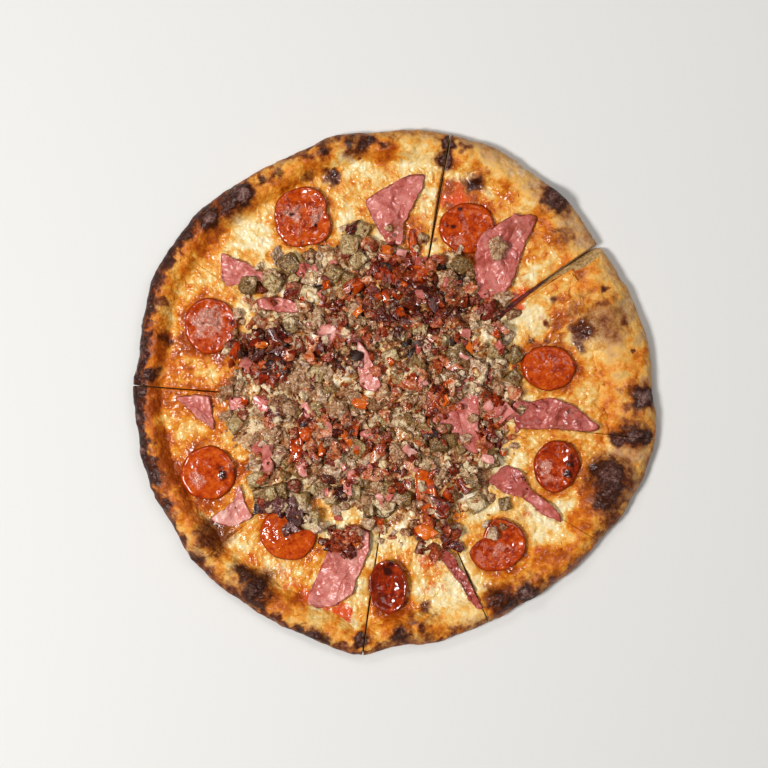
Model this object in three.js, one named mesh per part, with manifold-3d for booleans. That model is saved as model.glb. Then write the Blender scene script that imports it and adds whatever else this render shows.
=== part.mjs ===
// A 16 inch meat lovers pizza, cut into ten slices that keep the whole's shape.
// Millimetres, +Z up, the underside on z = 0. The cuts meet at TIP, a little off the middle of the outline.
import * as THREE from "three";
import { mergeVertices } from "three/addons/utils/BufferGeometryUtils.js";
import Module from "manifold-3d";

const wasm = await Module();
wasm.setup();

// ---------------------------------------------------------------- driving dimensions
const TIP = [5.9, -8.2]; // where the five cuts cross
const DOUGH_TOP = 4.4; // baked dough under the sauce
const SAUCE_TOP = 5.6;
const CHEESE_TOP = 8.4;
const LAYER_GAP = 0.2; // between dough, sauce and cheese
const EDGE_GAP = 1.6; // between the layers' outer edge and the crust
const REST_GAP = 0.35; // under a topping that lies on the cheese
const CORE_GAP = 0.8; // under a topping that lies on the meat or on the crust's slope
const TIP_GAP = 0.8; // width of a cut at the middle
const EDGE_Z = 6.2; // height of the crust's outermost line
const CREST_AT = 0.4; // place of the crest across the crust, counted from outside
const COLUMNS = 10; // facets across a slice
const HAM_THICK = 1.7;
const PEPPERONI_THICK = 2.3;

// One row a slice, counter-clockwise: the cut it starts at (degrees from +X), how far that cut swings
// by the middle (degrees), the cut's opening at the rim, the crust's reach from TIP at the cut and at
// each quarter of the slice, the crust's width at the cut and at the slice's middle, its crest height.
const SLICES = [
  { cut: 39.0, swing: 6, open: 3.0, reach: [196.4, 201.5, 205.1, 210.4], rim: [43, 36], crest: 15.5 },
  { cut: 80.0, swing: 0, open: 2.2, reach: [212.4, 213.3, 211.8, 215.2], rim: [35, 30], crest: 16.5 },
  { cut: 111.3, swing: 1, open: 0.9, reach: [212.6, 212.5, 214.4, 218.7], rim: [30, 33], crest: 16.0 },
  { cut: 145.8, swing: 1, open: 0.9, reach: [218.0, 218.2, 213.6, 209.8], rim: [31, 28], crest: 17.0 },
  { cut: 176.3, swing: 1, open: 1.6, reach: [210.8, 208.4, 207.9, 204.3], rim: [28, 30], crest: 16.5 },
  { cut: 217.5, swing: 1, open: 1.2, reach: [205.0, 201.3, 198.6, 197.7], rim: [34, 36], crest: 16.0 },
  { cut: 260.9, swing: -2, open: 2.2, reach: [199.5, 189.2, 189.0, 185.8], rim: [32, 34], crest: 15.5 },
  { cut: 291.7, swing: -4, open: 1.6, reach: [183.8, 182.5, 183.6, 186.4], rim: [34, 36], crest: 16.5 },
  { cut: 325.3, swing: -6, open: 1.0, reach: [187.7, 191.1, 194.2, 197.5], rim: [38, 50], crest: 16.0 },
  { cut: 351.8, swing: -3, open: 1.2, reach: [198.9, 195.4, 196.3, 195.5], rim: [48, 54], crest: 17.0 },
];
// The last slice's cut was torn open: its wall leans back by LEAN at LEAN_TOP high and shows its crumb,
// from LEAN_FROM outwards and over the last LEAN_WIDE of the slice's turn
const LEAN = 8;
const LEAN_TOP = 16;
const LEAN_FROM = [120, 165];
const LEAN_WIDE = 0.3;

// Bubbles blown in the crust: [x, y, radius, height]
const BUBBLES = [
  [155.6, 58.1, 26, 8], [168.1, -68.2, 21, 8.5], [184.5, -32.4, 15, 4], [192.3, -5.9, 10, 3],
  [124.4, 150.9, 16, 5], [62.8, 161.8, 10, 3], [54.2, 189.2, 9, 2], [168.9, 73.7, 8, 2],
  [103.4, -154.1, 12, 3.5], [83.1, -160.3, 12, 3.5], [4.3, -185.2, 11, 3], [18.0, -172.0, 11, 3],
  [-108.8, -151.7, 18, 6], [-90.1, -175.1, 9, 2], [-149.4, -115.8, 18, 6], [-160.3, -132.2, 11, 3],
  [-119.0, 152.5, 12, 3.5], [-145.5, 135.3, 11, 3], [-57.3, 189.9, 10, 2], [-33.9, 197.0, 10, 2],
  [-64.4, -189.2, 11, 3],
];

// Pepperoni: its middle, half its width and length, its turn in degrees, the lift of its cupped rim, how
// square its outline is, and a bite out of it: [direction in degrees, depth]
const PEPPERONI = [
  { at: [-71.8, 136.1], half: [21.8, 22.6], turn: 12, cup: 1.6, square: 0.25 },
  { at: [-143.9, 51.9], half: [20.6, 21.8], turn: 0, cup: 0.6 },
  { at: [-145.9, -62.8], half: [21.4, 21.0], turn: 20, cup: 1.4 },
  { at: [-83.1, -109.6], half: [22.2, 21.2], turn: 0, cup: 1.2 },
  { at: [-5.9, -150.9], half: [14.4, 20.6], turn: 4, cup: 5.0 },
  { at: [79.2, -119.0], half: [22.6, 19.8], turn: 28, cup: 2.4, bite: [118, 9] },
  { at: [125.2, -57.3], half: [17.8, 20.6], turn: -12, cup: 4.0 },
  { at: [119.0, 19.1], half: [21.2, 17.6], turn: -4, cup: 3.0 },
  { at: [55.8, 127.9], half: [21.8, 19.8], turn: 6, cup: 1.8 },
  { at: [13.4, 113.8], half: [3.2, 13.6], turn: 3, cup: 0.6 },
  { at: [23.8, -77.6], half: [8.0, 21.0], turn: 12, cup: 2.4 },
  { at: [77.0, -17.6], half: [9.6, 10.6], turn: 20, cup: 1.0 },
  { at: [-76.8, -41.0], half: [5.6, 13.4], turn: 0, cup: 1.0 },
];

// Torn ham: the corners of each piece, and the height of its folds
const HAM = [
  { fold: 2.6, over: [], corners: [[-24.6, 149.4], [-12.1, 157.2], [7.4, 168.9], [22.2, 170.4],
    [23.8, 167.3], [14.4, 147.0], [6.6, 130.7], [4.6, 113.5], [-5.1, 115.0], [-14.4, 128.3]] },
  { fold: 3.0, over: [8], corners: [[92.4, 139.2], [107.2, 136.9], [110.4, 134.6], [98.7, 111.2],
    [92.4, 88.5], [83.1, 74.2], [71.4, 74.2], [62.8, 82.3], [61.2, 101.8], [62.8, 116.6],
    [66.7, 123.6], [77.6, 129.1]] },
  { fold: 2.0, over: [], corners: [[-136.1, 109.6], [-117.4, 101.0], [-101.0, 93.2], [-90.1, 87.0],
    [-100.2, 86.3], [-117.4, 85.0], [-130.7, 82.3], [-135.3, 87.8]] },
  { fold: 1.6, over: [], corners: [[-171.2, -4.3], [-164.2, -2.0], [-145.5, -2.7], [-143.1, -11.3],
    [-140.8, -30.0], [-150.9, -22.2], [-163.4, -11.3]] },
  { fold: 0.6, over: [], corners: [[-130.7, -3.9], [-116.6, -4.3], [-115.8, -12.1], [-129.1, -14.4]] },
  { fold: 2.0, over: [], corners: [[-121.5, -69.5], [-125.5, -84.0], [-143.9, -97.9], [-136.1, -103.4],
    [-126.8, -104.1], [-109.6, -97.9], [-115.0, -91.7], [-118.3, -81.5]] },
  { fold: 2.6, over: [], corners: [[-51.9, -119.7], [-69.8, -163.4], [-60.5, -167.3], [-46.4, -165.8],
    [-33.1, -156.4], [-30.8, -147.0], [-24.0, -133.0], [-20.0, -119.0], [-19.9, -107.2], [-34.7, -101.8]] },
  { fold: 1.6, over: [], corners: [[30.8, -121.3], [41.2, -122.9], [55.4, -143.1], [67.4, -168.1],
    [61.2, -167.3], [51.0, -149.4], [38.6, -133.8]] },
  { fold: 2.0, over: [], corners: [[70.6, -68.2], [86.2, -55.8], [97.5, -60.9], [102.6, -72.9],
    [115.0, -83.1], [128.3, -94.0], [129.9, -101.8], [115.0, -95.5], [99.5, -82.0], [83.1, -77.3]] },
  { fold: 2.2, over: [], corners: [[105.7, -7.2], [116.6, -4.3], [125.2, -5.1], [140.8, -11.3],
    [151.7, -20.7], [160.3, -27.7], [151.7, -30.8], [123.6, -28.5], [96.3, -28.5], [89.8, -17.7],
    [91.0, -5.7]] },
  { fold: 1.4, over: [], corners: [[-30.8, 41.7], [-24.6, 36.3], [-18.3, 23.8], [-9.8, 4.3],
    [-16.0, 0.4], [-27.7, 4.3]] },
  { fold: 1.8, over: [], corners: [[48.8, 7.4], [65.1, 16.8], [65.1, -16.0], [65.1, -48.8],
    [50.3, -43.3], [42.5, -28.5], [27.7, -22.2]] },
  { fold: 1.2, over: [], corners: [[-108.8, 72.9], [-90.1, 74.7], [-70.6, 67.9], [-71.4, 61.2],
    [-90.1, 62.4], [-107.2, 65.7]] },
  { fold: 1.4, over: [], corners: [[-62.0, 51.9], [-48.0, 55.0], [-42.5, 44.1], [-51.1, 36.3],
    [-61.2, 39.4]] },
];

// The heap of sausage and bacon: its middle, the reach of its bare core every 15 degrees, its height
const HEAP = [-13.7, 5.9];
const HEAP_REACH = [97, 101, 98, 99, 116, 98, 101, 116, 112, 118, 115, 102,
  114, 120, 118, 119, 101, 98, 102, 117, 121, 118, 104, 94];
const HEAP_EDGE = 0.9; // thickness of the core at its edge
const HEAP_HIGH = 4.2; // more at its middle
// The diced sausage and the crumbled sausage that show largest: [x, y, size]
const DICE = [
  [-114.3, 83.1, 13], [-81.9, 99.5, 14], [-94.8, 84.5, 12], [-81.9, 52.0, 12], [-66.7, 76.6, 13],
  [-35.5, 115.0, 14], [-29.2, 102.2, 13], [51.1, 98.8, 12], [4.3, 45.6, 12], [-4.3, 27.7, 12],
  [15.2, 19.9, 13], [1.2, 12.1, 11], [47.2, 28.0, 17], [77.7, 33.1, 13], [-124.5, -24.7, 12],
  [-59.7, 15.2, 12], [-62.8, -13.7, 13], [9.4, -23.8, 12], [33.1, -39.1, 14], [-29.2, -43.3, 12],
  [-108.7, -68.2, 13], [-102.7, -79.9, 15], [-90.1, -76.7, 12], [-72.6, -84.7, 15], [-31.6, -76.0, 12],
  [35.1, -106.7, 12], [58.1, -70.6, 14], [73.7, -52.2, 12], [62.7, -86.3, 13], [-48.0, 92.0, 12],
];
const CRUMBLES = [
  [-78.4, 12.4, 27], [-62.8, 90.0, 17], [-46.1, -12.2, 18], [-46.4, -61.2, 20], [22.7, -4.6, 15],
  [3.5, -48.0, 18], [33.6, -64.5, 15], [-96.2, 88.0, 15], [44.9, 80.0, 18], [-92.1, -9.8, 16],
  [-64.5, -30.3, 15], [-94.3, -32.6, 15], [-2.0, 66.0, 15], [-100.0, 30.0, 15],
];
const SMALL_DICE = 44; // more dice, 8 to 12 mm, spread evenly between the large ones
const DICE_SIZE = [8, 12];
const BACON_BITS = 84; // pieces of fried bacon, 6 to 11 mm
const BACON_SIZE = [6, 11];

// Colours, roughness and metalness of the cooked food
const LOOKS = {
  dough: [0xc98f4e, 0.8], sauce: [0xb33a1c, 0.4], cheese: [0xecd6a0, 0.45],
  pepperoni: [0xc2431f, 0.35], ham: [0xd67478, 0.45], meat_heap: [0x8a6a48, 0.7],
};

// ---------------------------------------------------------------- small helpers
const RAD = Math.PI / 180;
const mix = (a, b, t) => a + (b - a) * t;
const polar = (x, y, from) => {
  const angle = Math.atan2(y - from[1], x - from[0]) / RAD;
  return { r: Math.hypot(x - from[0], y - from[1]), a: (angle + 360) % 360 };
};

// A seeded draw from 0 to 1
function dealer(seed) {
  let state = seed;
  return () => {
    state = (state + 0x6d2b79f5) | 0;
    let t = Math.imul(state ^ (state >>> 15), 1 | state);
    t = (t + Math.imul(t ^ (t >>> 7), 61 | t)) ^ t;
    return ((t ^ (t >>> 14)) >>> 0) / 4294967296;
  };
}

// A smooth closed run of values through stations [angle, value] sorted by angle
function around(stations) {
  const n = stations.length;
  const value = (k) => stations[((k % n) + n) % n][1];
  return (angle) => {
    let a = angle;
    while (a < stations[0][0]) a += 360;
    while (a >= stations[0][0] + 360) a -= 360;
    let k = n - 1;
    while (stations[k][0] > a) k--;
    const end = k === n - 1 ? stations[0][0] + 360 : stations[k + 1][0];
    const t = (a - stations[k][0]) / (end - stations[k][0]);
    const [p, q, r, s] = [value(k - 1), value(k), value(k + 1), value(k + 2)];
    return q + 0.5 * t * (r - p + t * (2 * p - 5 * q + 4 * r - s + t * (3 * (q - r) + s - p)));
  };
}

const nextCut = (i) => (i === 9 ? SLICES[0].cut + 360 : SLICES[i + 1].cut);
const reachAt = around(SLICES.flatMap((s, i) =>
  s.reach.map((value, q) => [mix(s.cut, nextCut(i), q / 4), value])));
const rimAt = around(SLICES.flatMap((s, i) => [[s.cut, s.rim[0]], [mix(s.cut, nextCut(i), 0.5), s.rim[1]]]));
const crestAt = around(SLICES.map((s, i) => [mix(s.cut, nextCut(i), 0.5), s.crest]));
const heapAt = around(HEAP_REACH.map((value, k) => [k * 15, value]));

// Height that the bubbles add at a place
function bubbles(x, y) {
  let sum = 0;
  for (const [bx, by, radius, high] of BUBBLES) {
    const d = Math.hypot(x - bx, y - by) / radius;
    if (d < 1) sum = Math.max(sum, high * (1 - d * d) ** 1.3);
  }
  return sum;
}

// Unevenness of the risen crust
const uneven = (x, y) =>
  0.7 * Math.sin(x * 0.083 + 1.7) * Math.cos(y * 0.071) + 0.5 * Math.sin(x * 0.19 - y * 0.16);

// Top of the dough at a place: a flat floor that swells to the crust
function doughTop(x, y) {
  const { r, a } = polar(x, y, TIP);
  const u = reachAt(a) - r;
  const wide = rimAt(a);
  if (u >= wide) return DOUGH_TOP;
  const at = CREST_AT * wide;
  const crest = crestAt(a) + uneven(x, y);
  if (u < at) {
    const rise = Math.sqrt(Math.max(0, 1 - ((at - u) / at) ** 2));
    return EDGE_Z + (crest - EDGE_Z) * rise + bubbles(x, y);
  }
  const fall = 0.5 + 0.5 * Math.cos(Math.PI * (u - at) / (wide - at));
  return DOUGH_TOP + (crest - DOUGH_TOP) * fall + bubbles(x, y) * Math.min(1, 2.2 * fall);
}

// Top of the heap's bare core, or the cheese's beyond it
function heapTop(x, y) {
  const { r, a } = polar(x, y, HEAP);
  const rho = r / heapAt(a);
  if (rho >= 1) return CHEESE_TOP + Math.max(0, HEAP_EDGE * (1 - (rho - 1) * 14));
  return CHEESE_TOP + LAYER_GAP + HEAP_EDGE + HEAP_HIGH * (1 - rho ** 3);
}

// What a topping lies on at a place, with its clearance
function restOn(x, y, over = []) {
  let z = CHEESE_TOP + REST_GAP;
  const crust = doughTop(x, y);
  if (crust > CHEESE_TOP - 1.5) z = Math.max(z, crust + CORE_GAP);
  const core = heapTop(x, y);
  if (core > CHEESE_TOP) z = Math.max(z, core + CORE_GAP);
  for (const k of over) {
    const { at, half, cup } = PEPPERONI[k];
    const d = Math.hypot((x - at[0]) / half[0], (y - at[1]) / half[1]);
    const top = CHEESE_TOP + REST_GAP + PEPPERONI_THICK + cup * Math.min(1, d) ** 2 + CORE_GAP;
    z = Math.max(z, top - Math.max(0, d - 1.25) * 12);
  }
  return z;
}

// ---------------------------------------------------------------- solids from loops
function bufferOf(points, faces) {
  const geometry = new THREE.BufferGeometry();
  geometry.setAttribute("position", new THREE.Float32BufferAttribute(points.flat(), 3));
  geometry.setIndex(faces.flat());
  return geometry;
}

function solidOf(geometry) {
  const bare = geometry.index ? geometry.toNonIndexed() : geometry.clone();
  for (const extra of ["normal", "uv"]) if (bare.attributes[extra]) bare.deleteAttribute(extra);
  const merged = mergeVertices(bare, 1e-4);
  return new wasm.Manifold(new wasm.Mesh({
    numProp: 3,
    vertProperties: new Float32Array(merged.attributes.position.array),
    triVerts: new Uint32Array(merged.index.array),
  }));
}

function geometryOf(solid) {
  const { vertProperties, triVerts } = solid.getMesh();
  const geometry = new THREE.BufferGeometry();
  geometry.setAttribute("position", new THREE.BufferAttribute(new Float32Array(vertProperties), 3));
  geometry.setIndex(new THREE.BufferAttribute(new Uint32Array(triVerts), 1));
  return geometry;
}

// The biggest body of a solid, without loose scraps or sealed hollows
const mainBody = (solid) =>
  solid.decompose().reduce((best, body) => (body.volume() > best.volume() ? body : best));

// A wedge swept over a slice: place(r, turn, z) gives each point of the profile [[r, z], ...], whose
// first and last points lie at the tip; turn runs from 0 at one cut to 1 at the next.
function wedge(profileAt, place, columns = COLUMNS) {
  const points = [];
  const faces = [];
  const count = profileAt(0).length;
  const tipLow = points.push(place(0, 0, profileAt(0)[0][1])) - 1;
  const tipHigh = points.push(place(0, 0, profileAt(0)[count - 1][1])) - 1;
  const index = (j, k) => (k === 0 ? tipLow : k === count - 1 ? tipHigh : 2 + j * (count - 2) + k - 1);
  for (let j = 0; j <= columns; j++) {
    const profile = profileAt(j / columns);
    for (let k = 1; k < count - 1; k++) points.push(place(profile[k][0], j / columns, profile[k][1]));
  }
  for (let j = 0; j < columns; j++)
    for (let k = 0; k < count - 1; k++) {
      const [a, b, c, d] = [index(j, k), index(j, k + 1), index(j + 1, k + 1), index(j + 1, k)];
      if (a !== d) faces.push([a, d, c]);
      if (b !== c) faces.push([a, c, b]);
    }
  for (const [j, flip] of [[0, false], [columns, true]]) {
    const loop = profileAt(j / columns).map(([r, z]) => new THREE.Vector2(r, z));
    for (const tri of THREE.ShapeUtils.triangulateShape(loop, [])) {
      const face = tri.map((k) => index(j, k));
      const turned = THREE.ShapeUtils.isClockWise(tri.map((k) => loop[k]));
      faces.push(turned !== flip ? face.reverse() : face);
    }
  }
  return bufferOf(points, faces);
}

// How far the torn wall of the last slice leans back from its cut, as an angle
function leanAt(r, turn, z) {
  const out = Math.min(1, (r - LEAN_FROM[0]) / (LEAN_FROM[1] - LEAN_FROM[0]));
  const near = 1 - (1 - turn) / LEAN_WIDE;
  return out > 0 && near > 0 ? (LEAN / r) * out * near * Math.min(1, z / LEAN_TOP) : 0;
}

// Where a slice's own coordinates lie on the pizza: it stands back from its two cuts
function placer(i) {
  const from = SLICES[i];
  const to = SLICES[(i + 1) % 10];
  const end = nextCut(i);
  const half = (end - from.cut) / 2;
  const back = TIP_GAP / 2 / Math.sin(half * RAD);
  const middle = (from.cut + half) * RAD;
  const start = [TIP[0] + back * Math.cos(middle), TIP[1] + back * Math.sin(middle)];
  const angle = (r, turn) => {
    const full = r / 200;
    const cutA = from.cut + from.swing * (1 - full) + (from.open - TIP_GAP) / 2 / 200 / RAD;
    const cutB = end + to.swing * (1 - full) - (to.open - TIP_GAP) / 2 / 200 / RAD;
    return mix(cutA, cutB, turn);
  };
  const place = (r, turn, z) => {
    const a = angle(r, turn) * RAD - (i === SLICES.length - 1 ? leanAt(r, turn, z) : 0);
    return [start[0] + r * Math.cos(a), start[1] + r * Math.sin(a), z];
  };
  const reach = (turn) => {
    const a = angle(200, turn);
    return reachAt(a) - back * Math.cos(a * RAD - middle);
  };
  return { place, reach, wide: (turn) => rimAt(angle(180, turn)) };
}

// The dough's section at a turn across the slice: thin floor, swollen crust, rounded under at its edge
function doughSection(i, turn) {
  const { place, reach, wide } = placer(i);
  const out = reach(turn);
  const w = wide(turn);
  const topAt = (u) => {
    const [x, y] = place(out - u, turn, 0);
    return [out - u, doughTop(x, y)];
  };
  const swell = bubbles(...place(out - 4, turn, 0).slice(0, 2)) * 0.25;
  return [
    [0, 0], [out * 0.5, 0], [out - 0.4 * w, 0], [out - 5, 0.7], [out - 1.3, 3], [out + swell, EDGE_Z],
    ...[0.06, 0.17, 0.4, 0.55, 0.68, 0.82].map((part) => topAt(part * w)),
    [out - w * 1.02, DOUGH_TOP], [out * 0.5, DOUGH_TOP], [0, DOUGH_TOP],
  ];
}

const doughOf = (i) => wedge((turn) => doughSection(i, turn), placer(i).place);

// How far from the tip the dough's inner slope rises through a height
function slopeAt(section, height) {
  for (let k = section.length - 2; k > 0; k--) {
    const [[r0, z0], [r1, z1]] = [section[k], section[k - 1]];
    if (z0 <= height && z1 > height) return mix(r0, r1, (height - z0) / (z1 - z0));
  }
  return section[5][0];
}

// Sauce and cheese run from the tip to the crust's slope
function layerOf(i, low, high, relief) {
  const { place } = placer(i);
  const profile = (turn) => {
    const section = doughSection(i, turn);
    const bottom = slopeAt(section, low) - EDGE_GAP;
    const top = slopeAt(section, high) - EDGE_GAP;
    const steps = relief ? [0.93, 0.78, 0.62, 0.45] : [0.5];
    return [
      [0, low], [bottom * 0.5, low], [bottom, low], [top, high],
      ...steps.map((part) => [part * bottom, high - (relief ? sag(i, part, turn) : 0)]), [0, high],
    ];
  };
  return wedge(profile, place);
}

// The melted cheese sags between the toppings, outside the heap of meat
function sag(i, part, turn) {
  const { place, reach } = placer(i);
  const [x, y] = place(part * reach(turn), turn, 0);
  return part < 0.75 ? 0 : 0.35 + 0.35 * Math.sin(x * 0.21 + 2 * i) * Math.cos(y * 0.19);
}

// A thin sheet over a closed outline, both faces split alike
function sheetOf(outline, middle, rings, low, thick) {
  const points = [];
  const faces = [];
  const n = outline.length;
  for (const top of [0, 1]) {
    points.push([middle[0], middle[1], low(middle[0], middle[1], 0) + top * thick]);
    for (const ring of rings)
      for (const [x, y] of outline) {
        const [px, py] = [mix(middle[0], x, ring), mix(middle[1], y, ring)];
        points.push([px, py, low(px, py, ring) + top * (ring === 1 ? thick * 0.85 : thick)]);
      }
  }
  const side = 1 + rings.length * n;
  const index = (top, ring, k) => top * side + 1 + ring * n + (k % n);
  for (let k = 0; k < n; k++) {
    faces.push([side, index(1, 0, k), index(1, 0, k + 1)], [0, index(0, 0, k + 1), index(0, 0, k)]);
    for (let ring = 0; ring < rings.length - 1; ring++)
      for (const top of [1, 0]) {
        const [a, b] = [index(top, ring, k), index(top, ring, k + 1)];
        const [c, d] = [index(top, ring + 1, k), index(top, ring + 1, k + 1)];
        faces.push(...(top ? [[a, c, d], [a, d, b]] : [[a, d, c], [a, b, d]]));
      }
    const last = rings.length - 1;
    const [a, b, c, d] = [index(0, last, k), index(0, last, k + 1), index(1, last, k), index(1, last, k + 1)];
    faces.push([a, b, d], [a, d, c]);
  }
  return bufferOf(points, faces);
}

// Points set evenly and counter-clockwise along a closed line of corners, with every corner kept
function resample(corners, step) {
  const back = THREE.ShapeUtils.isClockWise(corners.map(([x, y]) => new THREE.Vector2(x, y)));
  const line = back ? [...corners].reverse() : corners;
  return line.flatMap((from, k) => {
    const to = line[(k + 1) % line.length];
    const parts = Math.max(1, Math.round(Math.hypot(to[0] - from[0], to[1] - from[1]) / step));
    const along = (j) => [0, 1].map((axis) => mix(from[axis], to[axis], j / parts));
    return Array.from({ length: parts }, (_, j) => along(j));
  });
}

const middleOf = (outline) =>
  [0, 1].map((axis) => outline.reduce((sum, p) => sum + p[axis], 0) / outline.length);

// ---------------------------------------------------------------- toppings
function pepperoniOutline({ at, half, turn, square = 0, bite }) {
  const small = Math.min(...half) < 9;
  const count = small ? 12 : 18;
  return Array.from({ length: count }, (_, k) => {
    const a = (k / count) * 360;
    const round = 1 + square * 0.35 * Math.abs(Math.sin(2 * a * RAD));
    const off = bite ? Math.abs(((a - bite[0] + 540) % 360) - 180) : 180;
    const nick = bite ? (bite[1] / half[0]) * Math.max(0, 1 - off / 45) : 0;
    const [u, v] = [half[0] * Math.cos(a * RAD), half[1] * Math.sin(a * RAD)].map((c) => c * (round - nick));
    const [c, s] = [Math.cos(turn * RAD), Math.sin(turn * RAD)];
    return [at[0] + u * c - v * s, at[1] + u * s + v * c];
  });
}

function pepperoniOf(row) {
  const outline = pepperoniOutline(row);
  const low = (x, y, ring) => restOn(x, y) + row.cup * ring ** 3;
  return sheetOf(outline, row.at, [0.55, 1], low, PEPPERONI_THICK);
}

function hamOf({ corners, fold, over }, k) {
  const outline = resample(corners, 11);
  const low = (x, y, ring) => {
    const wave = Math.max(0, Math.sin(x * 0.17 + y * 0.11 + 2 * k));
    return restOn(x, y, over) + fold * (0.35 * ring ** 2 + 0.65 * wave);
  };
  return sheetOf(outline, middleOf(corners), [0.5, 1], low, HAM_THICK);
}

// ---------------------------------------------------------------- the heap of meat
// Distance from a place to the nearest edge of an outline, negative inside it
function clearance(outline, x, y) {
  let best = Infinity;
  let inside = false;
  outline.forEach(([ax, ay], k) => {
    const [bx, by] = outline[(k + 1) % outline.length];
    const t = ((x - ax) * (bx - ax) + (y - ay) * (by - ay)) / ((bx - ax) ** 2 + (by - ay) ** 2 || 1);
    const s = Math.min(1, Math.max(0, t));
    best = Math.min(best, Math.hypot(x - mix(ax, bx, s), y - mix(ay, by, s)));
    if (ay > y !== by > y && x < ((bx - ax) * (y - ay)) / (by - ay) + ax) inside = !inside;
  });
  return inside ? -best : best;
}

function coreOf() {
  const outline = HEAP_REACH.map((reach, k) => {
    const a = k * 15 * RAD;
    return [HEAP[0] + reach * Math.cos(a), HEAP[1] + reach * Math.sin(a)];
  });
  const low = CHEESE_TOP + LAYER_GAP;
  const core = sheetOf(outline, HEAP, [0.4, 0.75, 1], () => low, HEAP_EDGE);
  const place = core.attributes.position;
  for (let k = 0; k < place.count; k++)
    if (place.getZ(k) > low + 0.01) {
      const { r, a } = polar(place.getX(k), place.getY(k), HEAP);
      place.setZ(k, low + HEAP_EDGE + HEAP_HIGH * (1 - Math.min(1, r / heapAt(a)) ** 3));
    }
  return solidOf(core);
}

// One lump of meat, rough in size and turn, standing part sunk in the core
function lump(shape, [x, y], size, flat, draw) {
  const place = shape.attributes.position;
  const seen = new Map();
  for (let k = 0; k < place.count; k++) {
    const key = [place.getX(k), place.getY(k), place.getZ(k)].map((v) => v.toFixed(3)).join();
    if (!seen.has(key)) seen.set(key, [0, 0, 0].map(() => 0.82 + 0.36 * draw()));
    const by = seen.get(key);
    place.setXYZ(k, place.getX(k) * by[0], place.getY(k) * by[1], place.getZ(k) * by[2]);
  }
  shape.scale(size, size * (0.8 + 0.3 * draw()), size * flat);
  shape.rotateX((draw() - 0.5) * 0.5);
  shape.rotateZ(draw() * Math.PI);
  shape.translate(x, y, heapTop(x, y) + size * flat * 0.22);
  const floor = CHEESE_TOP + LAYER_GAP;
  for (let k = 0; k < place.count; k++) place.setZ(k, Math.max(floor, place.getZ(k)));
  return solidOf(shape);
}

function heapOf(toppings) {
  const draw = dealer(41);
  let heap = coreOf();
  const free = (x, y, r) => {
    const { r: far, a } = polar(x, y, HEAP);
    return far < heapAt(a) - 1.5 && toppings.every((outline) => clearance(outline, x, y) > r * 0.72 + 0.6);
  };
  const add = (shape, at, size, flat) => {
    if (free(at[0], at[1], size)) heap = heap.add(lump(shape, at, size, flat, draw));
  };
  for (const [x, y, size] of CRUMBLES) add(new THREE.IcosahedronGeometry(0.55, 0), [x, y], size, 0.6);
  for (const [x, y, size] of DICE) add(new THREE.BoxGeometry(1, 0.85, 1), [x, y], size, 0.7);
  const spread = (count, start, sizes, box, flat) => {
    for (let k = 0; k < count; k++) {
      const a = start + k * 2.39996; // the golden angle spreads them evenly
      const r = 116 * Math.sqrt((k + 0.5) / count);
      const at = [HEAP[0] + r * Math.cos(a), HEAP[1] + r * Math.sin(a)];
      add(new THREE.BoxGeometry(...box), at, mix(sizes[0], sizes[1], draw()), flat);
    }
  };
  spread(SMALL_DICE, 1.1, DICE_SIZE, [1, 0.85, 1], 0.75);
  spread(BACON_BITS, 0.3, BACON_SIZE, [1, 0.6, 1], 0.42);
  return geometryOf(mainBody(heap));
}

// ---------------------------------------------------------------- the pizza
const group = new THREE.Group();
group.name = "meat_lovers_pizza";

function addPiece(name, kind, geometry) {
  const [color, roughness] = LOOKS[kind];
  geometry.computeVertexNormals();
  const mesh = new THREE.Mesh(geometry, new THREE.MeshStandardMaterial({ color, roughness, metalness: 0 }));
  mesh.name = name;
  group.add(mesh);
}

const numbered = (kind, k) => `${kind}_${String(k + 1).padStart(2, "0")}`;

SLICES.forEach((_, i) => {
  addPiece(numbered("dough", i), "dough", doughOf(i));
  addPiece(numbered("sauce", i), "sauce", layerOf(i, DOUGH_TOP + LAYER_GAP, SAUCE_TOP, false));
  addPiece(numbered("cheese", i), "cheese", layerOf(i, SAUCE_TOP + LAYER_GAP, CHEESE_TOP, true));
});
PEPPERONI.forEach((row, k) => addPiece(numbered("pepperoni", k), "pepperoni", pepperoniOf(row)));
HAM.forEach((row, k) => addPiece(numbered("ham", k), "ham", hamOf(row, k)));
addPiece("meat_heap", "meat_heap",
  heapOf([...PEPPERONI.map(pepperoniOutline), ...HAM.map(({ corners }) => corners)]));

// The part's own frame stands at the middle of its footprint
const box = new THREE.Box3().setFromObject(group);
group.position.set(-(box.min.x + box.max.x) / 2, -(box.min.y + box.max.y) / 2, -box.min.z);

export default group;
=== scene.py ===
# A 16 inch meat lovers pizza in ten slices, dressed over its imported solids.
# Every table is in millimetres, from the same origin as the solids' own source. MOVED brings it to the
# part's frame.
import itertools
import math

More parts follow.
